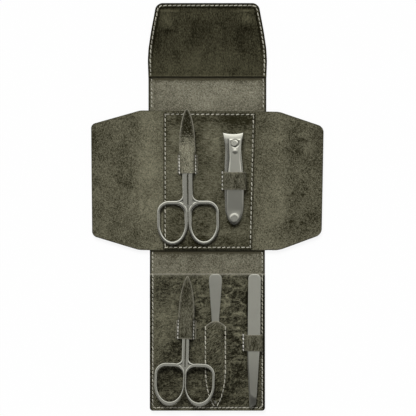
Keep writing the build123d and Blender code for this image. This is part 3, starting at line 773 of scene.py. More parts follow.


# ---------------------------------------------------------------- marks of use, and painted shadows, shade and sheen

# Middle, half width, half height and strength of each patch, in millimetres
# The light patch in the middle of the top spine is painted light, and the dark bands at y 84.9 and -29.6 are
# painted shadows under the facing's and the sheet's lower edges.
SUEDE_MARKS_AND_SHADOWS = [
    (5, 73, 40, 8, 0.35), (-30, 67, 14, 5, -0.3), (30, 66, 16, 5, -0.45), (0, 84.9, 400, 1.5, -3.0),
    (0, -29.6, 400, 1.3, -2.4), (-12, -38, 22, 5, 0.2), (-35, 74, 3, 14, -0.3), (37, 74, 4, 14, -0.4),
    (0, -34, 400, 12, -0.45),
]
# The light patches over the magnets are painted highlights on the domes, partly scuffs, and the dark patches
# just below them are painted shadows.
FACING_MARKS_AND_PAINTED_LIGHT = [
    (-26.5, 124.5, 4.4, 4.6, 0.9), (-24.5, 120.5, 3.6, 3.0, 0.5), (26.5, 124, 4.2, 3.4, 0.6),
    (-25.5, 116.2, 4.5, 1.4, -0.7), (26, 117, 4.5, 1.6, -0.3), (0, 92, 40, 7, 0.3),
    (0, 100, 26, 10, 0.2), (-33, 106, 5, 16, -0.3), (29, 108, 6, 14, -0.1), (5, 117, 22, 7, -0.2),
    (0, 126, 14, 3, 0.25), (-28, 100, 6, 6, 0.1),
]
# The long light bands by the gusset folds and creases are painted sheen of the bent hide.
LEFT_MARKS_AND_SHEEN = [
    (-37, 17, 10.5, 90, 0.75), (-43, 30, 5, 24, 0.25), (-50, 0, 7, 10, 0.2), (-57, 34, 5, 8, -0.6),
    (-68, 48, 10, 6, -0.5), (-51, 14, 4, 5, -0.65), (-70, 12, 8, 18, 0.15), (-48, -17, 4, 4, -0.5),
    (-46, 52, 5, 6, -0.3), (-62, -12, 6, 5, -0.35), (-66, 28, 5, 6, 0.25), (-56, 50, 5, 4, 0.2),
    (-58, 6, 6, 6, 0.2), (-52, -20, 10, 5, -0.2), (-76, 45, 3, 16, -0.3), (-48, -4, 3, 4, -0.3),
    (-36, -20, 5, 6, -0.35),
]
RIGHT_MARKS_AND_SHEEN = [
    (40, 15, 9, 90, 0.4), (49, 1, 5, 14, 0.5), (50, 32, 5, 16, 0.25), (73, 34, 5, 20, -0.4),
    (62, 44, 4, 1.6, -0.9), (60.5, 36, 2.2, 1.2, -0.9), (55, 25, 2.2, 1.2, -0.7),
    (63, 8.0, 1.2, 0.9, -2.2), (56.3, 8.6, 1.1, 0.9, -1.8), (65, 11.5, 1.6, 0.9, -0.8),
    (62.6, -10.5, 1.2, 0.7, -2.4), (55.9, -9.8, 0.9, 0.8, -2.2), (65.3, -5.5, 1.5, 0.9, -1.0),
    (56, -3, 4, 10, -0.3), (60, -16, 10, 4, -0.4), (69, 20, 4, 6, 0.3), (69, 41, 3, 1.5, 0.6),
    (72, 54, 5, 3, 0.3), (56, 46, 5, 8, -0.35), (57, 31, 4, 5, -0.3), (37, 56, 6, 5, -0.5),
    (71, -8, 4, 6, -0.35), (48, 47, 4, 8, 0.2),
]
# The dark strip along the upper tongue's right side and the dark patches at the clipper's tail end are
# painted shadows.
PAD_MARKS_AND_SHADOWS = [
    (-22, 30, 5, 26, 0.7), (3, 47, 6, 10, 0.5), (3, 20, 5, 16, 0.25), (21, 56, 10, 5, -1.0),
    (8, 58, 22, 3, -0.5), (-18, 57, 8, 4, -0.5), (-5, -24, 30, 3.5, -0.6), (-24, 41, 2, 2, -0.7),
    (-26, 50, 3, 5, -0.3), (27, 10, 2.5, 40, -0.2), (-20, 0, 6, 9, -0.15), (22, -14, 6, 8, 0.3),
    (7, 38, 3, 12, 0.3), (-2, -5, 6, 7, -0.25), (-8, 44, 3, 10, -0.6), (-21, 37, 2, 4, -0.5),
    (12, 28, 3, 14, -0.25), (27, 38, 2.5, 14, 0.25), (17, -12, 3, 3, -0.7), (8, 9, 5, 8, -0.2),
    (17.5, -11, 7, 2.5, -0.8),
]
PANEL_CRUMPLE = [
    (17, -66, 9, 22, 1.0), (21, -100, 6, 18, 0.45), (-5, -66, 6, 16, 0.6), (-24, -62, 8, 12, 0.15),
    (22, -125, 8, 6, 0.3),
]
PANEL_MARKS = [
    (-27, -74, 7, 12, 0.6), (-30, -88, 4, 10, 0.2), (17, -66, 9, 18, 0.3), (-26, -107, 10, 12, -0.2),
    (-8, -112, 8, 14, -0.25), (17, -104, 8, 26, -0.3), (-4, -58, 6, 8, -0.1), (-23, -93, 8, 6, -0.3),
    (27.5, -66, 2.4, 26, -1.0), (-30, -55, 5, 8, -0.3), (12, -118, 8, 12, -0.15), (0, -129, 40, 3, -0.4),
    (-24, -117, 8, 8, -0.2), (36.6, -90, 1.3, 60, -0.8),
]


# ---------------------------------------------------------------- the strip

class CASE_OT_strip(bpy.types.Operator):
    """Outer hide and suede lining of the long strip, in four stretches with closer rows at its folds"""

    bl_idname = "manicure_case.strip"
    bl_label = "Strip"

    def execute(self, context):
        def flat(x, y, edge):
            return np.zeros_like(x)

        def suede_relief(x, y, edge):
            sunk = 0.5 * ease(y, 83.0, 84.6) + 0.35 * groove(np.abs(y - SHEET_LOW + 0.3), 1.2)
            return 0.08 * layered(x, y, 9, 21) - 0.12 * groove(np.abs(edge - 1.0), 0.7) - sunk

        # Painted shadows under the facing and the sheet, and painted light on the top spine, among the
        # suede's marks.
        def suede_tone_and_shadows(x, y):
            return spots(x, y, SUEDE_MARKS_AND_SHADOWS)

        def outer_tone(x, y):
            return 0.3 * layered(x, y, 30, 5)

        for stretch, (low, high, bodies, fold, hide_nodes, lining_nodes) in STRETCHES.items():
            hide = strip_piece(f"outer_hide_{stretch}", low, high, 0, 0.0, HIDE_TOP,
                               finish("outer_hide"), flat, outer_tone)
            dress_strip(hide, hide_nodes)
            end = min(high, FACING_LOW)
            lining = strip_piece(f"lining_{stretch}", low, end, LINING_INSET, HIDE_TOP, LINING_TOP,
                                 finish("suede_lining"), suede_relief, suede_tone_and_shadows)
            dress_strip(lining, lining_nodes)
        return {"FINISHED"}


class CASE_OT_facing(bpy.types.Operator):
    """Facing of the flap, pressed in along its rim and raised over the magnets"""

    bl_idname = "manicure_case.facing"
    bl_label = "Flap facing"

    def execute(self, context):
        low = FACING_LOW
        rows = spaced(low, FLAP_END, 0.6, near_high=(0.25, 0.8, 1.3, 2.0, 2.8, 3.6))
        x, y, side_edge = row_grid(rows, lambda v: -strip_half_width(v), strip_half_width, 0.6, ends=False)
        rim_edge = np.minimum(side_edge, FLAP_END - y)
        corner = spots(x, y, [(s * 33.7, FLAP_END, 4.4, 4.4, 1.0) for s in (-1, 1)])
        inset = rim_edge - 0.9 * corner
        edge = np.minimum(rim_edge, y - low)
        upper = ease(y, 92, 112)
        channel = groove(np.abs(inset - 3.0), 1.0) * (0.25 + 0.75 * upper)
        over_magnets = spots(x, y, [(-25.5, 128.3, 8, 5, 1), (26.5, 128.3, 8, 5, 1)])
        ridge = groove(np.abs(FLAP_END - y - 5.2), 1.1) * over_magnets
        domes, wrinkled = np.zeros_like(x), np.zeros_like(x)
        for side, fullness in ((-1, 0.62), (1, 0.42)):
            away = np.hypot(x - side * 25.6, (y - 122.3) / 1.1) + 0.4 * smooth_noise(x / 2.2, y / 2.2, 37)
            domes += fullness * (1 - ease(away, 2.2, 4.9))
            wrinkled += 1 - ease(away, 4.0, 6.5)
        folds = creases(x * 0.9 + y * 0.6, y * 0.8 - x * 0.3, 3.0, 31)
        height = 2.4 - 0.14 * (1 - ease(inset, 2.2, 3.4)) - 0.34 * channel + 0.3 * ridge + domes
        height += 0.3 * wrinkled * (folds - 0.4) + 0.1 * layered(x, y, 16, 33) * ease(inset, 3, 6)
        height -= 0.2 * groove(np.abs(inset - 1.45), 0.6) + lip_drop(edge)
        height += 0.3 * (1 - ease(y, low + 0.4, low + 2.5))
        tone = spots(x, y, FACING_MARKS_AND_PAINTED_LIGHT)
        streaks = layered(x * 2.2, y * 0.55, 5, 35)
        # Painted shade darkens the channel, and a painted highlight lightens the ridge over the magnets.
        tone += 0.3 * streaks - 1.2 * channel + 1.1 * ridge + 0.7 * wrinkled * (folds - 0.4) - 0.15
        tone += 0.35 * groove(np.abs(inset - 1.9), 0.5) - 1.2 * (1 - ease(edge, 0.5, 1.1)) * (y > low + 2)
        tone += 0.9 * groove(y - low - 0.4, 0.7)
        top = np.stack([x, y, height], -1)
        under = np.stack([x, y, np.full_like(x, HIDE_TOP)], -1)
        piece = closed_sheet("flap_facing_hide", top, under, finish("facing_hide"), tone, np.exp(-edge / 0.3))
        stand_for(piece, "flap", "flap_facing")
        halves = [strip_half_width(v) for v in np.linspace(low, FLAP_END, 200)]
        return {"FINISHED"}


# ---------------------------------------------------------------- the sheet with its wings

def sheet_high(x):
    """Upper edge of the sheet, which lies a little askew."""
    return SHEET_HIGH - 0.009 * x


# Corners of each wing's lower and upper edge, and how far they are rounded
WING_EDGES = {
    -1: [([(LEFT_CUT, SHEET_LOW + 0.3), (LEFT_CREASE - 0.6, SHEET_LOW + 0.4),
           (-WING_REACH, -19.2)], [16, 4.2]),
         ([(LEFT_CUT, SHEET_HIGH + 0.37), (LEFT_CREASE + 0.3, SHEET_HIGH + 0.4),
           (-WING_REACH, 54.4)], [12, 3.6])],
    1: [([(RIGHT_CUT, SHEET_LOW + 0.2), (RIGHT_CREASE - 0.4, SHEET_LOW + 0.2),
          (WING_REACH, -18.4)], [18, 5.6]),
        ([(RIGHT_CUT, SHEET_HIGH - 0.4), (RIGHT_CREASE, SHEET_HIGH - 0.5),
          (WING_REACH, 52.7)], [14, 5.2])],
}


def wing_paths(side):
    """Lower and upper edge of a wing, from the middle of its gusset outwards."""
    return [rounded_path([*corners, (side * WING_REACH, 17)], radii) for corners, radii in WING_EDGES[side]]


def sheet_relief(x, y):
    """Waves and creases of the sheet, kept inside the space that it has when shut."""
    out = ease(np.abs(x), 46, 70)
    ridge = 0.22 * groove(np.abs(np.abs(x) - GUSSET - 0.2), 1.6)
    fold = 0.2 * groove(np.abs(x - LEFT_CREASE), 1.8) + 0.2 * groove(np.abs(x - RIGHT_CREASE), 1.8)
    waves = 0.24 * layered(x, y, 24, 41) + 0.1 * layered(x, y, 6, 43)
    return waves * (0.25 + 0.75 * out) - ridge * 0.5 - fold * 0.5


def sheet_tone_and_sheen(x, y):
    """Light bands of painted sheen by the folds, dark patches further out, and pores."""
    marks = np.where(x < 0, spots(x, y, LEFT_MARKS_AND_SHEEN), spots(x, y, RIGHT_MARKS_AND_SHEEN))
    return marks - 0.12 + 0.2 * layered(x, y, 9, 47)


class CASE_OT_wings(bpy.types.Operator):
    """Sheet with the two wings, in four stretches with closer columns at the gussets and creases"""

    bl_idname = "manicure_case.wings"
    bl_label = "Wings"

    def execute(self, context):
        for name, side, cut, crease, nodes in (("left", -1, -LEFT_CUT, -LEFT_CREASE, []),
                                               ("right", 1, RIGHT_CUT, RIGHT_CREASE, ["wings_sheet"])):
            gusset, wing, paths = f"{name}_gusset", f"{name}_wing", wing_paths(side)
            columns = spaced(0, cut, 1.0, at=GUSSET + NEAR_FOLD, lips=(False, False))
            self.stretch(f"sheet_{name}", side, columns, None, ("back", gusset), GUSSET,
                         [gusset, f"{gusset}_crease", *nodes])
            reach = max(abs(p[0]) for path in paths for p in path)
            columns = spaced(cut, reach, 1.0, near_high=(0.25, 0.6, 1.0, 1.5, 2.2, 3.0, 3.8),
                             at=crease + NEAR_FOLD, lips=(False, True))
            self.stretch(f"wing_{name}", side, columns, paths, (gusset, wing), crease,
                         [wing, f"{wing}_crease"])
        return {"FINISHED"}

    def stretch(self, name, side, columns, paths, bodies, fold, nodes):
        """A stretch of the sheet in columns outwards, which hides its solids."""
        spans = []
        for u in columns:
            if paths is None:
                drift = 0.3 * float(ease(np.array(u), GUSSET - 4, 41))
                spans.append((SHEET_LOW + drift, sheet_high(side * u)))
            else:
                spans.append((along(paths[0], 0, side * u), along(paths[1], 0, side * u)))
        lows, highs = np.array(spans).T
        pattern = lines(0, 1, 0.012, False, False)
        y = np.array([np.concatenate([
            [lo + d for d in LIP], lo + 0.5 + (hi - lo - 1.0) * pattern, [hi - d for d in reversed(LIP)]])
            for lo, hi in spans])
        x = np.repeat(side * np.array(columns)[:, None], y.shape[1], 1)
        slope = 0.0095 if side < 0 else 0.019
        x += side * slope * (y - (17 if side < 0 else 34)) * ease(np.abs(x), 50, WING_REACH)
        edge = np.minimum(y - lows[:, None], highs[:, None] - y)
        if paths is not None:
            edge = np.minimum(edge, (columns[-1] - np.array(columns))[:, None])
        wave = sheet_relief(x, y)
        drop = lip_drop(edge)
        top = np.stack([x, y, SHEET_TOP + wave - drop], -1)
        under_wave = np.where(np.abs(x) > GUSSET, wave, 0)
        under = np.stack([x, y, LINING_TOP + under_wave + drop * 0.5], -1)
        piece = closed_sheet(name, top, under, finish("wing_hide"), sheet_tone_and_sheen(x, y), np.exp(-edge / 0.3))
        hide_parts(*nodes)
        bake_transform(piece)


# ---------------------------------------------------------------- pads

PAD_SEAM = [(-27.8, -26.8), (-27.8, 61.0), (30.4, 60.8), (28.3, -26.8), (-27.8, -26.8)]
FRONT_SEAM = [(-36.0, FRONT_PANEL_HIGH - 1.1), (-36.0, -131.6), (-35.2, -132.5), (35.4, -132.5),
              (36.2, -131.6), (36.2, FRONT_PANEL_HIGH - 1.1)]


class CASE_OT_pads(bpy.types.Operator):
    """Pads of grained hide that the tools lie on"""

    bl_idname = "manicure_case.pads"
    bl_label = "Pads"

    def execute(self, context):
        rows = lines(PAD_LOW, PAD_HIGH, 0.8)

        def right(v):
            return PAD_RIGHT_LOW + (PAD_RIGHT_HIGH - PAD_RIGHT_LOW) * (v - PAD_LOW) / (PAD_HIGH - PAD_LOW)

        x, y, edge = row_grid(rows, lambda v: PAD_LEFT, right, 0.8)
        seam = path_distance(x, y, PAD_SEAM)
        wrinkles = creases(x * 0.55, y, 2.6, 53)
        height = CENTRE_TOP + 0.1 * layered(x, y, 13, 51) + 0.1 * wrinkles
        height -= 0.22 * groove(seam, 0.9) + lip_drop(edge)
        tone = spots(x, y, PAD_MARKS_AND_SHADOWS)
        tone += 0.6 * (wrinkles - 0.4) - 0.5 * groove(seam, 1.1) + 0.25 * layered(x, y, 7, 55) - 0.05
        rim = np.exp(-edge / 0.3)
        self.place("centre_pad", x, y, height, SHEET_TOP, tone, rim, "pad_hide", "back", "centre_tool_panel")

        low, high = FRONT_END, FRONT_PANEL_HIGH
        rows = spaced(low, high, 0.55, (0.25, 0.8, 1.2, 1.6, 2.0))
        x, y, edge = row_grid(rows, lambda v: -strip_half_width(v), strip_half_width, 0.55)
        seam = path_distance(x, y, FRONT_SEAM)
        turned_x, turned_y = x * 0.94 + y * 0.34, y * 0.94 - x * 0.34
        bold = creases(x * 0.45, y, 4.2, 61) + 0.6 * creases(turned_x * 0.5, turned_y, 2.6, 63)
        fine = creases(x * 0.8, y * 0.9, 1.9, 65)
        crumple = 0.3 + spots(x, y, PANEL_CRUMPLE)
        inside = ease(seam, 0.8, 3.0)
        waves = 0.1 * layered(x, y, 12, 67)
        height = FRONT_TOP + inside * (0.4 * crumple * (bold - 0.45) + 0.14 * (fine - 0.4) + waves)
        height -= 0.24 * groove(seam, 0.9) + lip_drop(edge)
        tone = spots(x, y, PANEL_MARKS)
        # The creases' tone paints highlights along the raised wrinkles.
        tone += inside * (1.5 * crumple * (bold - 0.45) + 0.7 * (fine - 0.4)) - 0.4 * groove(seam, 1.1) - 0.1
        tone -= 0.7 * (1 - ease(x[:, -1:] - np.abs(x), 0.9, 1.9))
        rim = 1.4 * np.exp((y - high) / 0.55)
        self.place("front_panel", x, y, height, LINING_TOP, tone, rim, "panel_hide", "front",
                   "front_tool_panel")
        return {"FINISHED"}

    def place(self, name, x, y, height, under_z, tone, rim, finish_name, body, node):
        """A pad over its solid, with the size that it was cut to."""
        top = np.stack([x, y, height], -1)
        under = np.stack([x, y, np.full_like(x, under_z)], -1)
        piece = closed_sheet(name, top, under, finish(finish_name), tone, rim)
        stand_for(piece, body, node)


# ---------------------------------------------------------------- sheaths of the scissors

class Pair:
    """Where a pair of scissors lies: its pivot, turn, pitch and the ground under it."""

    def __init__(self, x, y, turn, pitch, ground, reach, body, name):
        self.x, self.y, self.ground, self.reach = x, y, ground, reach
        self.turn, self.pitch = math.radians(turn), math.radians(pitch)
        self.body, self.name = body, name
        self.pivot_z = ground + TOOL_LIFT + reach * math.sin(self.pitch)

    def to_case(self, x, y, height):
        """Points in the sheath's plan and a height above the ground, in the case's frame."""
        cos, sin = math.cos(self.turn), math.sin(self.turn)
        return np.stack([self.x + x * cos - y * sin, self.y + x * sin + y * cos, height], -1)

    def roof(self, y):
        """Top of the sheath along its middle."""
        return self.pivot_z + ROOF_TOP - y * math.sin(self.pitch)

    def loop_top(self, x, y):
        """Top of the loop, from its roof down to its feet."""
        away = np.abs(x)
        slope = ease(away, 3.8, 5.4)
        return (self.roof(y) - 0.12 * (away / 4) ** 2) * (1 - slope) + (self.ground + TRIM) * slope


UPPER = Pair(-13.1, BOTTOM_FOLD + 57.5, 0.6, 0.0, CENTRE_TOP, 35.1, "back", "upper_scissors")
LOWER = Pair(-14.05, FRONT_FOLD - 36.8, -1.6, 2.6, FRONT_TOP, 34.2, "front", "lower_scissors")
LOOP_HALF = 6.3
ROOF_TOP = 4.05


def tongue_half(y, tip, wide, taper):
    """Half width of the pointed tongue along its length; a larger taper makes its end more pointed."""
    t = np.clip((y - LOOP_HALF) / (tip - LOOP_HALF), 0, 1)
    return 0.2 + (wide - 0.2) * (1 - t ** 2.5) ** taper


class CASE_OT_sheaths(bpy.types.Operator):
    """Sheaths of the scissors: a loop sewn over the pivot and a tongue over the blades"""

    bl_idname = "manicure_case.sheaths"
    bl_label = "Scissor sheaths"

    def execute(self, context):
        for pair, wide, taper, seed in ((UPPER, 5.35, 0.64, 71), (LOWER, 5.2, 0.8, 81)):
            tip = pair.reach + 0.9
            rows = spaced(-LOOP_HALF, tip, 0.5, near_high=(0.25, 0.45, 0.8, 1.2, 1.8, 2.5),
                          at=LOOP_HALF + np.linspace(-1.2, 1.2, 9))

            def half(v):
                foot = 6.7 + (wide - 6.7) * float(ease(np.array(v), LOOP_HALF - 0.9, LOOP_HALF + 0.3))
                return foot if v < LOOP_HALF + 0.3 else float(tongue_half(v, tip, wide, taper))

            x, y, edge = row_grid(rows, lambda v: -half(v), half, EDGE_STEP)
            away = np.abs(x)
            in_loop = 1 - ease(y, LOOP_HALF - 1.0, LOOP_HALF + 2.0)
            width = np.array([half(v) for v in rows])[:, None]
            crown = (away / np.maximum(width, 0.1)) ** 2
            sag = 0.35 * ease(y, 12, tip) + 0.12 * ease(y, tip - 6, tip)
            tongue_height = pair.roof(y) - 0.4 * crown - sag
            height = pair.loop_top(x, y) * in_loop + tongue_height * (1 - in_loop)
            curl = 0.22 * (1 - ease(y + LOOP_HALF, 0.2, 1.3)) * (1 - ease(away, 3.8, 5.4))
            wrinkle = 0.1 * creases(x * 0.5, y, 2.4, seed) + 0.05 * layered(x, y, 3, seed + 3)
            height += curl + wrinkle * ease(edge, 0.2, 1.0)
            seam = np.abs(away - 5.45)
            height -= 0.15 * groove(seam, 0.6) * in_loop
            thick = TRIM - 0.25 * (1 - in_loop)
            under = np.maximum(height - thick, pair.ground + HAIR)
            tone = self.tones(pair, x, y, tip, seed)
            top_points = pair.to_case(x, y, height - lip_drop(edge, 0.25))
            under_points = pair.to_case(x, y, under + 0.3 * lip_drop(edge, 0.25))
            tip_share = ease(y, 12, 24) if pair is UPPER else ease(y, tip - 3, tip)
            rim = np.exp(-edge / 0.4) * ((0.5 if pair is UPPER else 0.9) + 0.9 * tip_share)
            hide = finish("trim_hide" if pair is UPPER else "strap_hide")
            piece = closed_sheet(f"{pair.name}_sheath_hide", top_points, under_points, hide, tone, rim)
            stand_for(piece, pair.body, f"{pair.name}_sheath")
        return {"FINISHED"}

    def tones(self, pair, x, y, tip, seed):
        """Light over the loop and dark towards the point."""
        streak = 0.25 * (creases(x * 0.4, y, 2.2, seed) - 0.4) + 0.15 * layered(x * 2, y, 5, seed + 5)
        if pair is UPPER:
            base = 0.72 - 1.75 * ease(y, 8, 25) - 0.9 * ease(np.abs(x), 4.6, 5.4) * (y < LOOP_HALF)
            return base + streak * (1 + ease(y, 8, 20)) - 0.2 * (1 - ease(y, -6, -3))
        base = -0.3 + spots(x, y, [(0.5, 23, 2.2, 9, -0.2), (0, 8, 4, 7, 0.3), (0, -4, 8, 2.5, -0.1)])
        return base + 0.35 * layered(x * 2.5, y * 0.5, 5, seed + 7) + 0.5 * streak


class CASE_OT_file_sheath(bpy.types.Operator):
    """Sheath of the nail file: a patch sewn round its edge, open at its arched mouth"""

    bl_idname = "manicure_case.file_sheath"
    bl_label = "File sheath"

    def execute(self, context):
        middle, half, mouth, low = FILE_X, 7.1, FRONT_FOLD - 35.5, -131.6
        turn = mouth - 27.0

        def half_width(v):
            t = max(0.0, (turn - v) / (turn - low))
            return 0.6 + (half - 0.6) * (1 - t ** 2.1) ** 0.72

        rows = spaced(low, mouth, 0.55, (0.25, 0.45, 0.8, 1.3, 2.0, 3.0))
        x, y, edge = row_grid(rows, lambda v: -half_width(v), half_width, EDGE_STEP)
        away = np.abs(x)
        width = np.array([half_width(v) for v in rows])[:, None]
        arch = 4.1 * (1 - np.clip(away / half, 0, 1) ** 1.9)
        raised_y = y + arch * ease(y, mouth - 7, mouth)
        bulge = ease(width - away, 1.4, 4.4) * ease(y, low + 1, low + 9)
        height = FRONT_TOP + TRIM + 1.3 * bulge + 0.25 * bulge * ease(y, mouth - 3, mouth)
        slanted = creases((x + 0.8 * y) * 0.45, y - 0.5 * x, 1.9, 91)
        height += (0.16 * slanted + 0.06 * layered(x, y, 4, 93)) * ease(edge, 0.3, 1.2)
        seam = np.abs(width - away - half + FILE_SEAM)
        height -= 0.16 * groove(seam, 0.6) + lip_drop(edge, 0.25)
        under = np.where(bulge > 0, height - TRIM, FRONT_TOP + HAIR)
        under = np.maximum(under, FRONT_TOP + HAIR)
        tone = -0.1 + 0.9 * (slanted - 0.45) + 0.25 * layered(x, y, 6, 95)
        tone += spots(x, y, [(0, mouth - 6, 4, 6, 0.4), (0, -118, 5, 14, -0.25)]) - 0.4 * groove(seam, 0.9)
        top = np.stack([x + middle, raised_y, height], -1)
        bottom = np.stack([x + middle, raised_y, under], -1)
        raw = np.exp(-edge / 0.3) * 0.25 + 1.2 * np.exp((y - mouth) / 0.5)
        piece = closed_sheet("file_sheath_hide", top, bottom, finish("sheath_hide"), tone, raw)
        stand_for(piece, "front", "file_sheath")
        return {"FINISHED"}


def strap(name, body, node, along_y, along_x, ground, roofs, feet, marks, seed):
    """A strap over a tool, with rounded shoulders and sewn feet; its roof may slope along Y."""
    (low_y, high_y), (x0, x1), (roof_low, roof_high), (left_foot, right_foot) = along_y, along_x, roofs, feet
    half = TRIM / 2
    rows = lines(low_y, high_y, 0.5)
    tops, unders = [], []
    for y in rows:
        roof = roof_low + (roof_high - roof_low) * (y - low_y) / (high_y - low_y) + half
        foot = ground + half
        corners = [(x0 - half - left_foot, foot), (x0 - half, foot), (x0 - half, roof), (x1 + half, roof),
                   (x1 + half, foot), (x1 + half + right_foot, foot)]
        path = np.array(rounded_path(corners, [0.55, 1.2, 1.2, 0.55], 7))
        steps = np.concatenate([[0], np.cumsum(np.linalg.norm(np.diff(path, axis=0), axis=1))])
        wanted = np.linspace(0, steps[-1], 70)
        px, pz = np.interp(wanted, steps, path[:, 0]), np.interp(wanted, steps, path[:, 1])
        pz = pz + 0.1 * smooth_noise(px / 4, np.full_like(px, y / 5), seed) * (pz > ground + 2)
        tx, tz = np.gradient(px), np.gradient(pz)
        size = np.hypot(tx, tz)
        nx, nz = -tz / size, tx / size
        edge = min(y - low_y, high_y - y)
        thick = half - float(lip_drop(np.array(edge), 0.25))
        tops.append(np.stack([px + nx * thick, np.full_like(px, y), pz + nz * thick], -1))
        under_z = np.maximum(pz - nz * half, ground + HAIR)
        unders.append(np.stack([px - nx * half, np.full_like(px, y), under_z], -1))
    top, under = np.array(tops), np.array(unders)
    x, y = top[..., 0], top[..., 1]
    wrinkles = creases(x, y * 0.4, 3, seed + 2)
    tone = spots(x, y, marks) + 0.3 * layered(x, y, 3.5, seed) + 0.3 * (wrinkles - 0.4)
    edge = np.minimum(y - low_y, high_y - y)
    piece = closed_sheet(name, top, under, finish("strap_hide"), tone, 0.8 * np.exp(-edge / 0.25))
    stand_for(piece, body, node)


class CASE_OT_straps(bpy.types.Operator):
    """Straps over the clipper and the tweezers"""

    bl_idname = "manicure_case.straps"
    bl_label = "Straps"

    def execute(self, context):
        low, high = box_mm("clipper_loop")
        roof = high[2] - TRIM
        strap("clipper_strap", "back", "clipper_loop", (low[1], high[1]), (11.1, 24.45), CENTRE_TOP,
              (roof - 0.48, roof + 0.06), (1.4, 0.5),
              [(13.5, 17, 1.5, 5, -0.4), (18.5, 17, 1.2, 5, -0.35), (16, 17, 1.5, 6, 0.2),
               (22, 16, 2, 5, 0.1), (17, 22, 6, 1, 0.2)], 101)
        low, high = box_mm("tweezers_loop")
        roof = high[2] - TRIM
        strap("tweezers_strap", "front", "tweezers_loop", (low[1], high[1]), (low[0] + 2.4, high[0] - 1.4),
              FRONT_TOP, (roof - 0.05, roof - 0.1), (1.4, 0.5),
              [(28, -90, 1.5, 5, 0.1), (31, -90, 1.5, 5, -0.3), (33.5, -90, 1.3, 5, 0.15)], 103)
        return {"FINISHED"}


# ---------------------------------------------------------------- stitches

def flap_seam():
    """Path of the stitches round the flap, inside its edge."""
    right = [(strip_half_width(y) - 1.6, y) for y in np.linspace(87.0, 124.0, 20)]
    edge = np.array([p for p in FLAP_RIGHT if p[1] > 120])
    run = np.gradient(edge, axis=0)
    run /= np.linalg.norm(run, axis=1)[:, None]
    right += [tuple(p) for p in edge + 1.7 * np.stack([-run[:, 1], run[:, 0]], -1) if p[1] > 125]
    return right + [(-x, y) for x, y in reversed(right)]


class CASE_OT_stitches(bpy.types.Operator):
    """Stitches of every seam, in pieces that each ride on one body"""

    bl_idname = "manicure_case.stitches"
    bl_label = "Stitches"

    def execute(self, context):
        sew("stitches_flap", "flap", [lifted(flap_seam(), 2.24)], 3.1, 2.1, "dull_thread", 0.9)
        for name, low, high in (("top_spine", 66.6, 83.4), ("bottom_spine", -41.4, -30.8)):
            left, right = (-36.7, 36.9) if name == "top_spine" else (-36.1, 36.2)
            sides = [[(x, low, 1.95), (x, high, 1.95)] for x in (left, right)]
            sew(f"stitches_{name}", name, sides, SIDE_PITCH, 1.9, "dull_thread", 0.8)
        sew("stitches_centre_pad", "back", [lifted(path, CENTRE_TOP - 0.05) for path in self.pad_sides()],
            SEAM_PITCH, 1.85, "dull_thread", 0.95)
        sew("stitches_front_panel", "front", [lifted(FRONT_SEAM, FRONT_TOP - 0.05)],
            SIDE_PITCH, 2.0, "dull_thread", 0.9)
        sew("stitches_file_sheath", "front", [self.file_seam(side) for side in (-1, 1)],
            3.05, 2.2, "dull_thread")
        back = [self.loop_seam(UPPER, x, low) for x, low in ((-5.35, -5.9), (5.2, -6.0))]
        back.append([(9.9, 11.8, 4.82), (9.9, 22.4, 4.82)])
        sew("stitches_back_loops", "back", back, LOOP_PITCH, 1.15, "bright_thread", 1.1)
        front = [self.loop_seam(LOWER, x, low) for x, low in ((-5.15, -5.8), (4.85, -5.8))]
        front.append([(23.7, -94.3, 3.8), (23.7, -84.8, 3.8)])
        sew("stitches_front_loops", "front", front, LOOP_PITCH, 1.15, "bright_thread", 1.1)
        return {"FINISHED"}

    def pad_sides(self):
        """The four sides of the pad's seam, each short of its corners."""
        for (ax, ay), (bx, by) in zip(PAD_SEAM, PAD_SEAM[1:]):
            length = math.hypot(bx - ax, by - ay)
            ux, uy = (bx - ax) / length, (by - ay) / length
            yield [(ax + 1.6 * ux, ay + 1.6 * uy), (bx - 0.6 * ux, by - 0.6 * uy)]

    def file_seam(self, side):
        """Seam of the file's sheath, from its mouth to near its point."""
        points = [(FILE_SEAM, -80.0), (FILE_SEAM, -108.0), (6.2, -114), (5.3, -120), (3.7, -126),
                  (1.6, -130.2)]
        return [(FILE_X + side * x, y, FRONT_TOP + TRIM - 0.05) for x, y in points]

    def loop_seam(self, pair, x, low):
        """A column of stitches on one foot of a scissor loop."""
        y = np.linspace(low, 5.2, 8)
        return [tuple(p) for p in pair.to_case(x, y, pair.loop_top(np.full(8, x), y) + 0.02)]


# ---------------------------------------------------------------- steel

METAL_FINISHES = {
    "wire_steel": ["upper_scissors_fixed_half", "upper_scissors_moving_half",
                   "lower_scissors_fixed_half", "lower_scissors_moving_half"],
    "nickel": ["upper_scissors_screw", "lower_scissors_screw", "clipper_pin", "clipper_tail_rivet",
               "flap_magnets", "keeper_discs"],
}


def bar(name, body, node, place, reach, half_of, top_of, under_of, material, warp=None, lean=None,
        tone_of=None, bevel=0.12):
    """A flat steel tool lying along Y at a place (x, y, ground, turn): half width and heights along it."""
    low, high = reach
    near_end = (0.02, 0.1, 0.25, 0.5, 0.9, 1.4, 2.0)
    rows = spaced(low, high, 0.6, (*near_end, 2.8), near_end)
    x, y, edge = row_grid(rows, lambda v: -half_of(v), half_of, EDGE_STEP)
    px, py, ground, turn = place
    cos, sin = math.cos(math.radians(turn)), math.sin(math.radians(turn))
    along_y = y + (warp(x, y) if warp else 0)
    across = x + (lean(y) if lean else 0)
    plan = [px + across * cos - along_y * sin, py + across * sin + along_y * cos]
    drop = lip_drop(edge, 0.24)
    top = np.stack([*plan, ground + top_of(x, y) - drop - bevel * (1 - ease(edge, 0.1, 0.8))], -1)
    under = np.stack([*plan, ground + under_of(x, y) + drop * 0.6], -1)
    tone = tone_of(x, y) if tone_of else np.zeros_like(x)
    piece = closed_sheet(name, top, under, finish(material), tone)
    stand_for(piece, body, node)


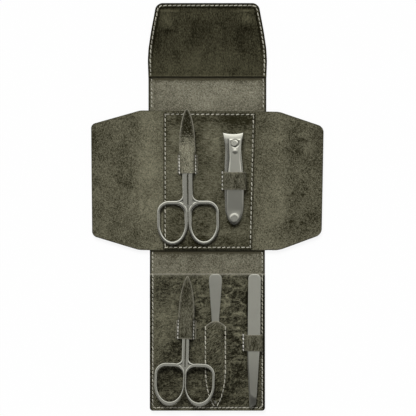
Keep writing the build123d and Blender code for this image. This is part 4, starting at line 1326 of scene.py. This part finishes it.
CLIPPER = (17.5, BOTTOM_FOLD + 70.9, CENTRE_TOP + TOOL_LIFT, 0)
CLIPPER_TAIL = -53.6
CLIPPER_JAW = 7.0
TAIL_ROUND = 13.1
LEVER_ASIDE = 0.65
LEAF_EDGE = rounded_path([(6.1, -40.0), (6.3, -33.0), (6.2, -22.0), (5.7, -12), (5.0, -3),
                          (6.65, CLIPPER_JAW)], [60, 60, 60, 40, 16])
LEVER_EDGE = rounded_path([(5.5, -40.0), (5.35, -27), (3.4, -10.5), (3.95, 3.0)], [60, 30])


def long_round(path, tail):
    """Half width along a path that ends in a long round tail."""
    def half(v):
        t = max(0.0, min(1.0, (tail + TAIL_ROUND - v) / TAIL_ROUND))
        return max(0.3, along(path, 1, max(v, path[0][1])) * math.sqrt(1 - t * t))
    return half


def profile(*points):
    """A height that changes along Y through points (y, height)."""
    ys, zs = zip(*points)
    return lambda x, y: np.interp(y, ys, zs)


class CASE_OT_clipper(bpy.types.Operator):
    """Leaves and lever of the clipper, with their soft edges and pressed details, such as the ring round the
    pin
    """

    bl_idname = "manicure_case.clipper"
    bl_label = "Clipper"

    def execute(self, context):
        def hollow(x, y):
            return -0.9 * (1 - (x / 6.7) ** 2) * ease(y, 1.5, CLIPPER_JAW)

        def leaf_lean(y):
            return 0.15 - 0.75 * ease(y, -35, 3)

        def lever_lean(y):
            return LEVER_ASIDE * ease(y, -54, -38)

        def jaw_top(x, y):
            height = np.interp(y, [CLIPPER_TAIL, -44, 0, 2.5], [2.2, 2.2, 4.8, 4.85])
            return height - 0.55 * np.clip((y - 2.6) / 4.4, 0, 1) ** 2

        def leaf_painted_shade(x, y):
            # Painted shadow in the gap left of the lever, and painted shade towards the tail.
            flank_shadow = groove(np.abs(x - LEVER_ASIDE + leaf_lean(y) + 4.4 + 0.9 * ease(-y, 12, 28)), 0.75)
            return -0.85 * flank_shadow * (y < 3.0) - 0.3 * ease(-y, 16, 28)

        leaf = long_round(LEAF_EDGE, CLIPPER_TAIL)
        reach = (CLIPPER_TAIL, CLIPPER_JAW)
        bar("clipper_lower_leaf_steel", "clipper", "clipper_lower_leaf", CLIPPER, reach, leaf,
            profile((CLIPPER_TAIL, 1.1), (-2, 1.1), (CLIPPER_JAW, 2.6)),
            profile((CLIPPER_TAIL, 0), (-2, 0), (CLIPPER_JAW, 1.5)), "cross_steel", hollow, leaf_lean)
        bar("clipper_upper_leaf_steel", "clipper_jaw", "clipper_upper_leaf", CLIPPER, reach, leaf, jaw_top,
            profile((CLIPPER_TAIL, 1.12), (-44, 1.12), (0, 3.7), (CLIPPER_JAW, 3.7)), "jaw_steel",
            hollow, leaf_lean, leaf_painted_shade)

        def lever_top(x, y):
            height = np.interp(y, [-53.1, -44, -20, -8, 3.0], [3.25, 3.35, 4.95, 5.6, 6.1])
            centre, dimple, boss = np.hypot(x, y), np.hypot(x, y + 5), np.hypot(x, y + 49.2)
            height = height - 0.5 * groove(np.abs(centre - 2.35), 0.6)
            return height + (0.34 * (1 - ease(dimple, 0.3, 1.7)) + 0.42 * (1 - ease(boss, 2.55, 3.15)))

        def lever_painted_shade(x, y):
            # Painted shade: darker towards the tail, a dark ring in the gap round the pin, and a dark lower
            # side of the dimple.
            ring = groove(np.abs(np.hypot(x, y) - 2.35), 0.55)
            shade = groove(np.abs(np.hypot(x, y + 5) - 1.7), 0.7) * ease(-y, 4.6, 6.2)
            return -0.5 * ease(-y, 16, 29) - 0.9 * ring - 0.8 * shade

        bar("clipper_lever_steel", "clipper_lever", "clipper_lever", CLIPPER, (-53.1, 3.0),
            long_round(LEVER_EDGE, -53.1), lever_top, profile((-53.1, 2.3), (-44, 2.37), (3.0, 5.13)),
            "lever_steel", None, lever_lean, lever_painted_shade, 0.3)
        return {"FINISHED"}


FILE_LENGTH = 85.5
FILE_EDGE = rounded_path([(1.2, 0), (3.9, 0), (4.3, -5.2), (2.35, -31), (3.2, -42), (3.2, -64), (2.2, -77),
                          (0.5, -FILE_LENGTH)], [3.0, 8, 40, 20, 30, 40])
TWEEZERS_LENGTH = 88.4
TWEEZERS_EDGE = rounded_path([(1.2, 0), (4.1, 0), (4.1, -44.0), (1.7, -TWEEZERS_LENGTH)], [3.0, 40])


class CASE_OT_file_and_tweezers(bpy.types.Operator):
    """Nail file with its grit, and the two arms of the tweezers"""

    bl_idname = "manicure_case.file_and_tweezers"
    bl_label = "File and tweezers"

    def execute(self, context):
        ground, top_y = FRONT_TOP + TOOL_LIFT, FRONT_FOLD - 0.5

        def flat(level):
            return lambda x, y: np.full_like(x, level)

        bar("nail_file_steel", "nail_file", "nail_file", (FILE_X, top_y, ground, 0), (-FILE_LENGTH, 0),
            lambda v: along(FILE_EDGE, 1, v), flat(0.85), flat(0), "file_steel", bevel=0.05,
            tone_of=lambda x, y: ease(-y, 38, 40) * ease(3.0 - np.abs(x), 0, 0.4))

        def slanted(x, y):
            return 1.3 * (x / 1.7 + 1) * ease(-y, 78, TWEEZERS_LENGTH)

        def raised(base):
            return lambda x, y: base + 0.0105 * np.maximum(-y - 3, 0)

        def upper_top(x, y):
            return raised(2.3)(x, y) - 0.45 * ease(-y - 0.8 * x, 80.5, TWEEZERS_LENGTH)

        def upper_arm_painted_shade(x, y):
            # Painted shade on the lower half of the arm and on its slanted tip facet.
            return -0.4 * ease(-y, 46, 76) - 0.3 * ease(-y - 0.8 * x, 80.3, 81.0)

        def lower_lean(y):
            return -0.7 * ease(-y, 36, 62)

        for name, body, top_of, under_of, lean, tone in (
                # The lower arm's tone of -0.6 is painted shade.
                ("tweezers_lower_arm", "tweezers", flat(1.0), flat(0), lower_lean, flat(-0.6)),
                ("tweezers_upper_arm", "tweezers_arm", upper_top, raised(1.3), None, upper_arm_painted_shade)):
            bar(f"{name}_steel", body, name, (31.05, top_y, ground, -0.55), (-TWEEZERS_LENGTH, 0),
                lambda v: along(TWEEZERS_EDGE, 1, v), top_of, under_of, "brushed_steel",
                slanted, lean, tone, 0.05)
        return {"FINISHED"}


class CASE_OT_steel(bpy.types.Operator):
    """Finishes of the steel tools and the closure's discs"""

    bl_idname = "manicure_case.steel"
    bl_label = "Steel"

    def execute(self, context):
        for name, nodes in METAL_FINISHES.items():
            for node in nodes:
                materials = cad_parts[node].data.materials
                materials.clear()
                materials.append(finish(name))
        return {"FINISHED"}


# ---------------------------------------------------------------- stage

# Metres, radians and levels of light; the sensor is in millimetres
TABLE_SIZE = 6
TABLE_LEVEL = 0.92
MIRRORED_LOW = 0.12
MIRRORED_HIGH = 2.45
SUN_ANGLE = math.radians(28)
SUN_TURN = math.radians(14)
SENSOR = 36
VIEW_SPAN = 0.27456


class CASE_OT_stage(bpy.types.Operator):
    """White table, soft light from beyond the flap, and the camera overhead"""

    bl_idname = "manicure_case.stage"
    bl_label = "Stage"

    def execute(self, context):
        scene = context.scene
        look = scene.case_stage
        material = bpy.data.materials.new("table")
        wire = emptied(material)
        direct = wire.node("ShaderNodeLightPath", out=0)
        matte = wire.node("ShaderNodeBsdfDiffuse", None, {0: shaded((1, 1, 1), TABLE_LEVEL)})
        white = wire.node("ShaderNodeEmission", None, {0: colour4((1, 1, 1)), 1: 1.0})
        surface = wire.node("ShaderNodeMixShader", None, {0: direct * 0.9, 1: matte, 2: white})
        put_out(wire, "ShaderNodeOutputMaterial", surface.socket)
        bpy.ops.mesh.primitive_plane_add(size=TABLE_SIZE, location=(0, 0, -0.06 * MM))
        floor = context.object
        floor.name = "table_top"
        floor.data.materials.append(material)

        scene.world = bpy.data.worlds.new("studio")
        wire = emptied(scene.world)
        seen, glossy, through = (wire.node("ShaderNodeLightPath", out=k) for k in (0, 3, 6))
        parts = wire.tree.nodes.new("ShaderNodeSeparateXYZ")
        wire.tree.links.new(wire.node("ShaderNodeTexCoord", out=0).socket, parts.inputs[0])
        beyond, up = Wire(wire.tree, parts.outputs[1]), Wire(wire.tree, parts.outputs[2])
        sideways = wire.math("SMOOTH_MAX", 1 - up * 1.04, 0.0)
        mirrored = wire.math("MAXIMUM", 0.58 + sideways * 0.75 + beyond * 2.9, MIRRORED_LOW)
        mirrored = wire.math("MINIMUM", mirrored, MIRRORED_HIGH)
        level = look.fill + glossy * (mirrored - look.fill)
        level = level + wire.math("MAXIMUM", seen, through) * (1.0 - level)
        back = wire.node("ShaderNodeBackground", None, {0: colour4((1, 1, 1)), 1: level})
        put_out(wire, "ShaderNodeOutputWorld", back.socket)

        sun = bpy.data.lights.new("key", "SUN")
        sun.energy = look.key
        sun.angle = SUN_ANGLE
        lamp = linked("key", sun)
        lamp.rotation_euler = (-(math.pi / 2 - look.key_elevation), 0, SUN_TURN)
        lamp.visible_glossy = False

        camera = bpy.data.cameras.new("camera")
        camera.lens = look.lens
        camera.sensor_width = SENSOR
        camera.clip_end = 20
        scene.camera = linked("camera", camera)
        scene.camera.location = (0.0004, -0.0008, VIEW_SPAN / 2 / (SENSOR / 2 / look.lens) + 0.002)
        scene.view_settings.view_transform = "Standard"
        return {"FINISHED"}


OPERATORS = (CASE_OT_strip, CASE_OT_facing, CASE_OT_wings, CASE_OT_pads, CASE_OT_sheaths, CASE_OT_file_sheath,
             CASE_OT_straps, CASE_OT_stitches, CASE_OT_clipper, CASE_OT_file_and_tweezers, CASE_OT_steel,
             CASE_OT_stage)


class CASE_PT_panel(bpy.types.Panel):
    """Lists the case's pieces and their settings"""

    bl_label = "Manicure case"
    bl_idname = "CASE_PT_panel"
    bl_space_type = "VIEW_3D"
    bl_region_type = "UI"
    bl_category = "Manicure case"

    def draw(self, context):
        for operator in OPERATORS:
            self.layout.operator(operator.bl_idname)
        for name, group in PROPERTY_GROUPS.items():
            box = self.layout.box()
            for key in group.__annotations__:
                box.prop(getattr(context.scene, name), key)


def register():
    for group in (*PROPERTY_GROUPS.values(), *OPERATORS, CASE_PT_panel):
        bpy.utils.register_class(group)
    for name, group in PROPERTY_GROUPS.items():
        setattr(bpy.types.Scene, name, bpy.props.PointerProperty(type=group))


def unregister():
    for name in PROPERTY_GROUPS:
        delattr(bpy.types.Scene, name)
    for group in reversed((*PROPERTY_GROUPS.values(), *OPERATORS, CASE_PT_panel)):
        bpy.utils.unregister_class(group)


def main():
    """Makes every piece."""
    register()
    for operator in OPERATORS:
        kind, name = operator.bl_idname.split(".")
        getattr(getattr(bpy.ops, kind), name)()


if __name__ == "__main__":
    main()
